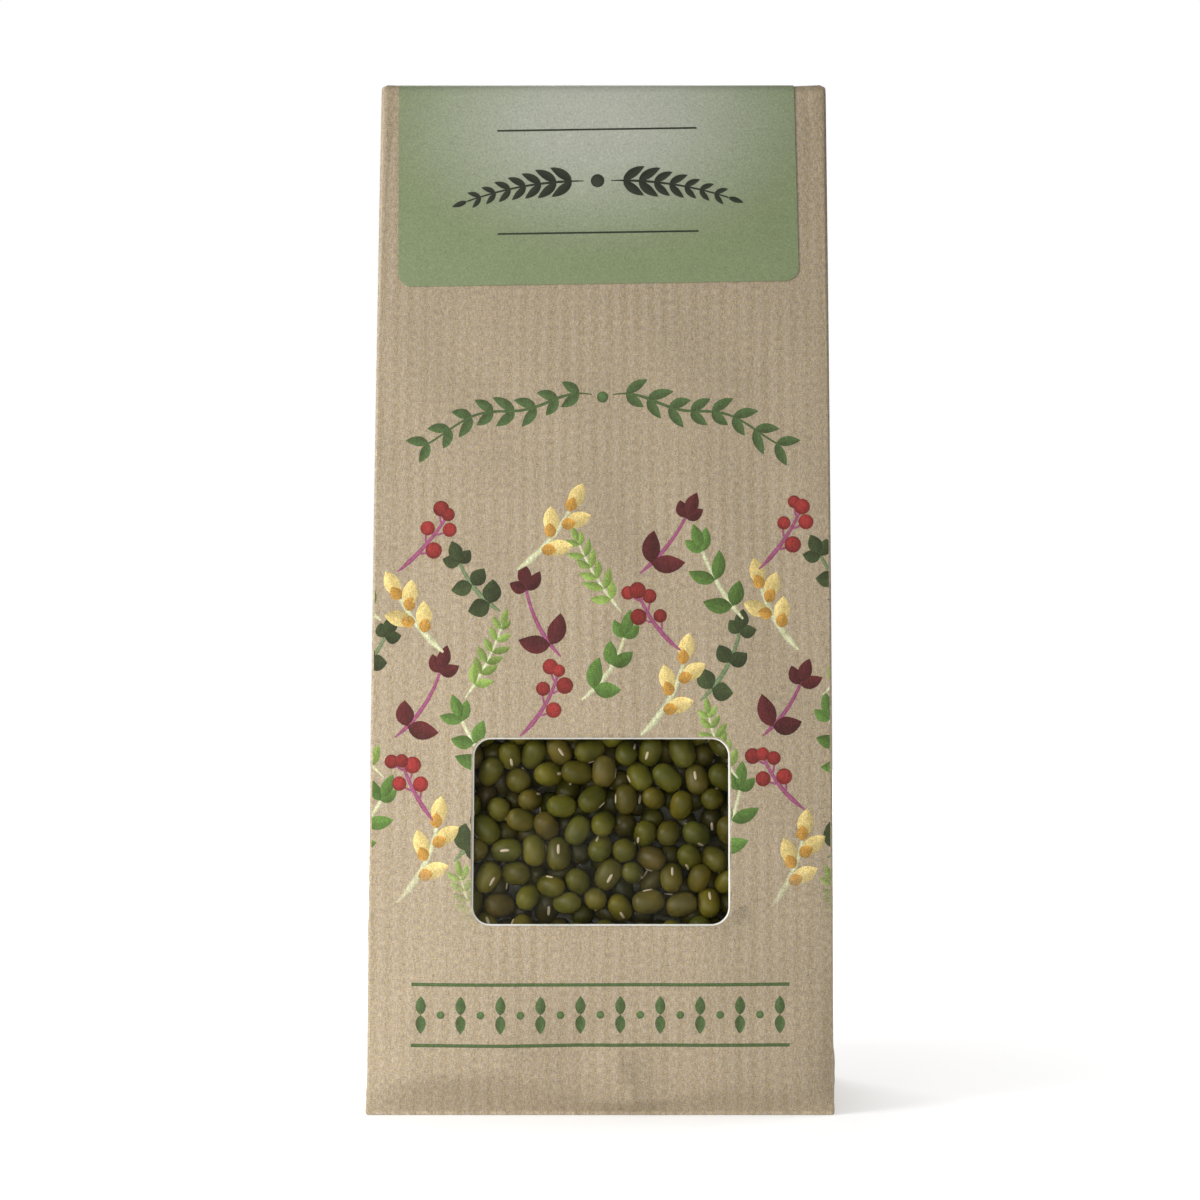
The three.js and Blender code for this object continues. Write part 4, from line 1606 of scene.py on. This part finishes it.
def make_beans(form, colours):
    draw = seeded_draw(form.bean_seed)
    material = bean_material(colours)
    places, turns, sizes = window_bean_start(form, draw)
    places, turns = settle_beans(form, places, turns, sizes)
    places = skewed(form, places)
    tones = bean_colours(colours, len(places), form.bean_seed)
    layer = np.arange(len(places)) * (1 + LAYERS_BEHIND) // len(places)
    # Rows further in are painted darker: painted shade
    tones = tones * np.array(LAYER_PAINTED_SHADE)[layer][:, None]
    shown = bean_mesh(form, "window_beans", places, turns, sizes, tones, SHOWN_DETAIL, material)
    settle_piece(shown, "bean_skin", "mung_beans")
    places, turns, sizes = hidden_bean_start(form, draw)
    tones = bean_colours(colours, len(places), form.bean_seed + 1)
    hidden = bean_mesh(form, "hidden_beans", places, turns, sizes, tones, HIDDEN_DETAIL, material)
    settle_piece(hidden, "bean_skin")
    make_core(form, colours)


# Stage

CAMERA_DISTANCE = 450 * MM
CAMERA_LENS = 88
CAMERA_HEIGHT = 79 * MM
FLOOR_RADIUS = 0.9
FLOOR_SIDES = 96
SURROUND_LIGHT = 0.22


def aim(thing, target):
    thing.rotation_mode = "QUATERNION"
    thing.rotation_quaternion = (Vector(target) - thing.location).to_track_quat("-Z", "Y")


def add_light(name, place, target, size, power):
    data = bpy.data.lights.new(name, "AREA")
    data.shape = "RECTANGLE"
    data.size, data.size_y = size
    data.energy = power
    light = bpy.data.objects.new(name, data)
    bpy.context.collection.objects.link(light)
    light.location = place
    light.visible_camera = False
    aim(light, target)


def make_floor():
    angles = np.linspace(0, math.tau, FLOOR_SIDES + 1)[:-1]
    points = [(FLOOR_RADIUS * math.cos(a), FLOOR_RADIUS * math.sin(a), 0) for a in angles]
    material, tree, shader = new_material("pale_floor")
    grain = use_group(tree, GRAIN_GROUP, Colour=(0.8, 0.8, 0.8, 1), Amount=0.02, Roughness=0.8)
    dress(tree, shader, grain["Colour"], grain["Roughness"], 0.1)
    reach = add_node(tree, "ShaderNodeVectorMath", operation="LENGTH")
    tree.links.new(add_node(tree, "ShaderNodeTexCoord").outputs["Object"], reach.inputs[0])
    white = spread(tree, reach.outputs["Value"], 0.03, 0.3, 0.45, 1.0)
    seen = add_node(tree, "ShaderNodeLightPath").outputs["Is Camera Ray"]
    white = calc(tree, "MULTIPLY", white, seen)
    tree.links.new(joined_levels(tree, [white] * 3), shader.inputs["Emission Color"])
    shader.inputs["Emission Strength"].default_value = 0.8
    floor = new_piece("floor", points, [list(range(FLOOR_SIDES))], [material], smooth_shade=False)


def make_world():
    world = bpy.data.worlds.new("studio")
    bpy.context.scene.world = world
    world.use_nodes = True
    tree = world.node_tree
    tree.nodes.clear()
    out = add_node(tree, "ShaderNodeOutputWorld")
    seen = add_node(tree, "ShaderNodeBackground")
    lit = add_node(tree, "ShaderNodeBackground")
    for background in (seen, lit):
        background.inputs["Color"].default_value = (1, 1, 1, 1)
    lit.inputs["Strength"].default_value = SURROUND_LIGHT
    path = add_node(tree, "ShaderNodeLightPath")
    mix_shaders(tree, path.outputs["Is Camera Ray"], lit, seen, out)


def make_camera(form):
    data = bpy.data.cameras.new("camera")
    data.sensor_width = 36
    data.lens = CAMERA_LENS
    data.clip_start = 0.01
    camera = bpy.data.objects.new("camera", data)
    bpy.context.collection.objects.link(camera)
    camera.location = (0, -form.depth / 2 - CAMERA_DISTANCE, CAMERA_HEIGHT)
    aim(camera, (0, 0, CAMERA_HEIGHT))
    bpy.context.scene.camera = camera


def make_lights():
    add_light("low_front", (-0.04, -0.17, 0.05), (0, 0, 0.02), (0.16, 0.03), 0.115)
    add_light("left", (-0.35, -0.2, 0.2), (0, 0, 0.06), (0.2, 0.2), 1.36)
    add_light("overhead", (0, -0.1, 1.0), (0, 0, 0), (1.2, 1.2), 1.05)
    add_light("right", (0.7, -0.5, 0.4), (0, 0, 0.08), (0.5, 0.5), 0.17)
    add_light("right_behind", (0.8, 0.35, 0.45), (0, 0, 0.08), (0.5, 0.5), 3)
    add_light("behind", (-0.3, 0.8, 0.6), (0, 0, 0.08), (0.6, 0.6), 5)


# Add-on


class PACKET_OT_bag(Operator):
    """Build the paper bag with its base, seam and window edge"""

    bl_idname = "packet.bag"
    bl_label = "Paper Bag"

    def execute(self, context):
        form, colours = context.scene.packet_form, context.scene.packet_colours
        make_bag(form, colours)
        make_window_edge(form, colours)
        make_base(form, colours)
        make_back_seam(form, colours)
        return {"FINISHED"}


class PACKET_OT_print(Operator):
    """Print the sprigs, the vine and the ruled band on the front"""

    bl_idname = "packet.front_print"
    bl_label = "Front Print"

    def execute(self, context):
        make_print(context.scene.packet_form, context.scene.packet_colours)
        return {"FINISHED"}


class PACKET_OT_film(Operator):
    """Glue the clear film behind the window"""

    bl_idname = "packet.film"
    bl_label = "Window Film"

    def execute(self, context):
        make_film(context.scene.packet_form)
        return {"FINISHED"}


class PACKET_OT_label(Operator):
    """Stick the label over the top fold"""

    bl_idname = "packet.label"
    bl_label = "Label"

    def execute(self, context):
        form = context.scene.packet_form
        make_label(form, context.scene.packet_colours)
        make_label_ornament(form)
        return {"FINISHED"}


class PACKET_OT_beans(Operator):
    """Fill the bag with beans"""

    bl_idname = "packet.beans"
    bl_label = "Beans"

    def execute(self, context):
        make_beans(context.scene.packet_form, context.scene.packet_colours)
        return {"FINISHED"}


class PACKET_OT_stage(Operator):
    """Set the floor, lights, surroundings and camera"""

    bl_idname = "packet.stage"
    bl_label = "Stage"

    def execute(self, context):
        make_floor()
        make_world()
        make_lights()
        make_camera(context.scene.packet_form)
        context.scene.view_settings.view_transform = "Standard"
        return {"FINISHED"}


class PACKET_PT_sidebar(Panel):
    """Lists the packet's pieces in the order that they are built"""

    bl_label = "Paper Packet"
    bl_idname = "PACKET_PT_sidebar"
    bl_space_type = "VIEW_3D"
    bl_region_type = "UI"
    bl_category = "Packet"

    def draw(self, context):
        for operator in OPERATORS:
            self.layout.operator(operator.bl_idname)
        for group in (context.scene.packet_form, context.scene.packet_colours):
            box = self.layout.box()
            for name in group.__annotations__:
                box.prop(group, name)


OPERATORS = (
    PACKET_OT_stage,
    PACKET_OT_bag,
    PACKET_OT_print,
    PACKET_OT_film,
    PACKET_OT_label,
    PACKET_OT_beans,
)
CLASSES = (PacketForm, PacketColours, *OPERATORS, PACKET_PT_sidebar)


def register():
    for entry in CLASSES:
        bpy.utils.register_class(entry)
    bpy.types.Scene.packet_form = PointerProperty(type=PacketForm)
    bpy.types.Scene.packet_colours = PointerProperty(type=PacketColours)


def unregister():
    del bpy.types.Scene.packet_colours
    del bpy.types.Scene.packet_form
    for entry in reversed(CLASSES):
        bpy.utils.unregister_class(entry)


def main():
    register()
    bpy.ops.packet.stage()
    bpy.ops.packet.bag()
    bpy.ops.packet.front_print()
    bpy.ops.packet.film()
    bpy.ops.packet.label()
    bpy.ops.packet.beans()


if __name__ == "__main__":
    main()
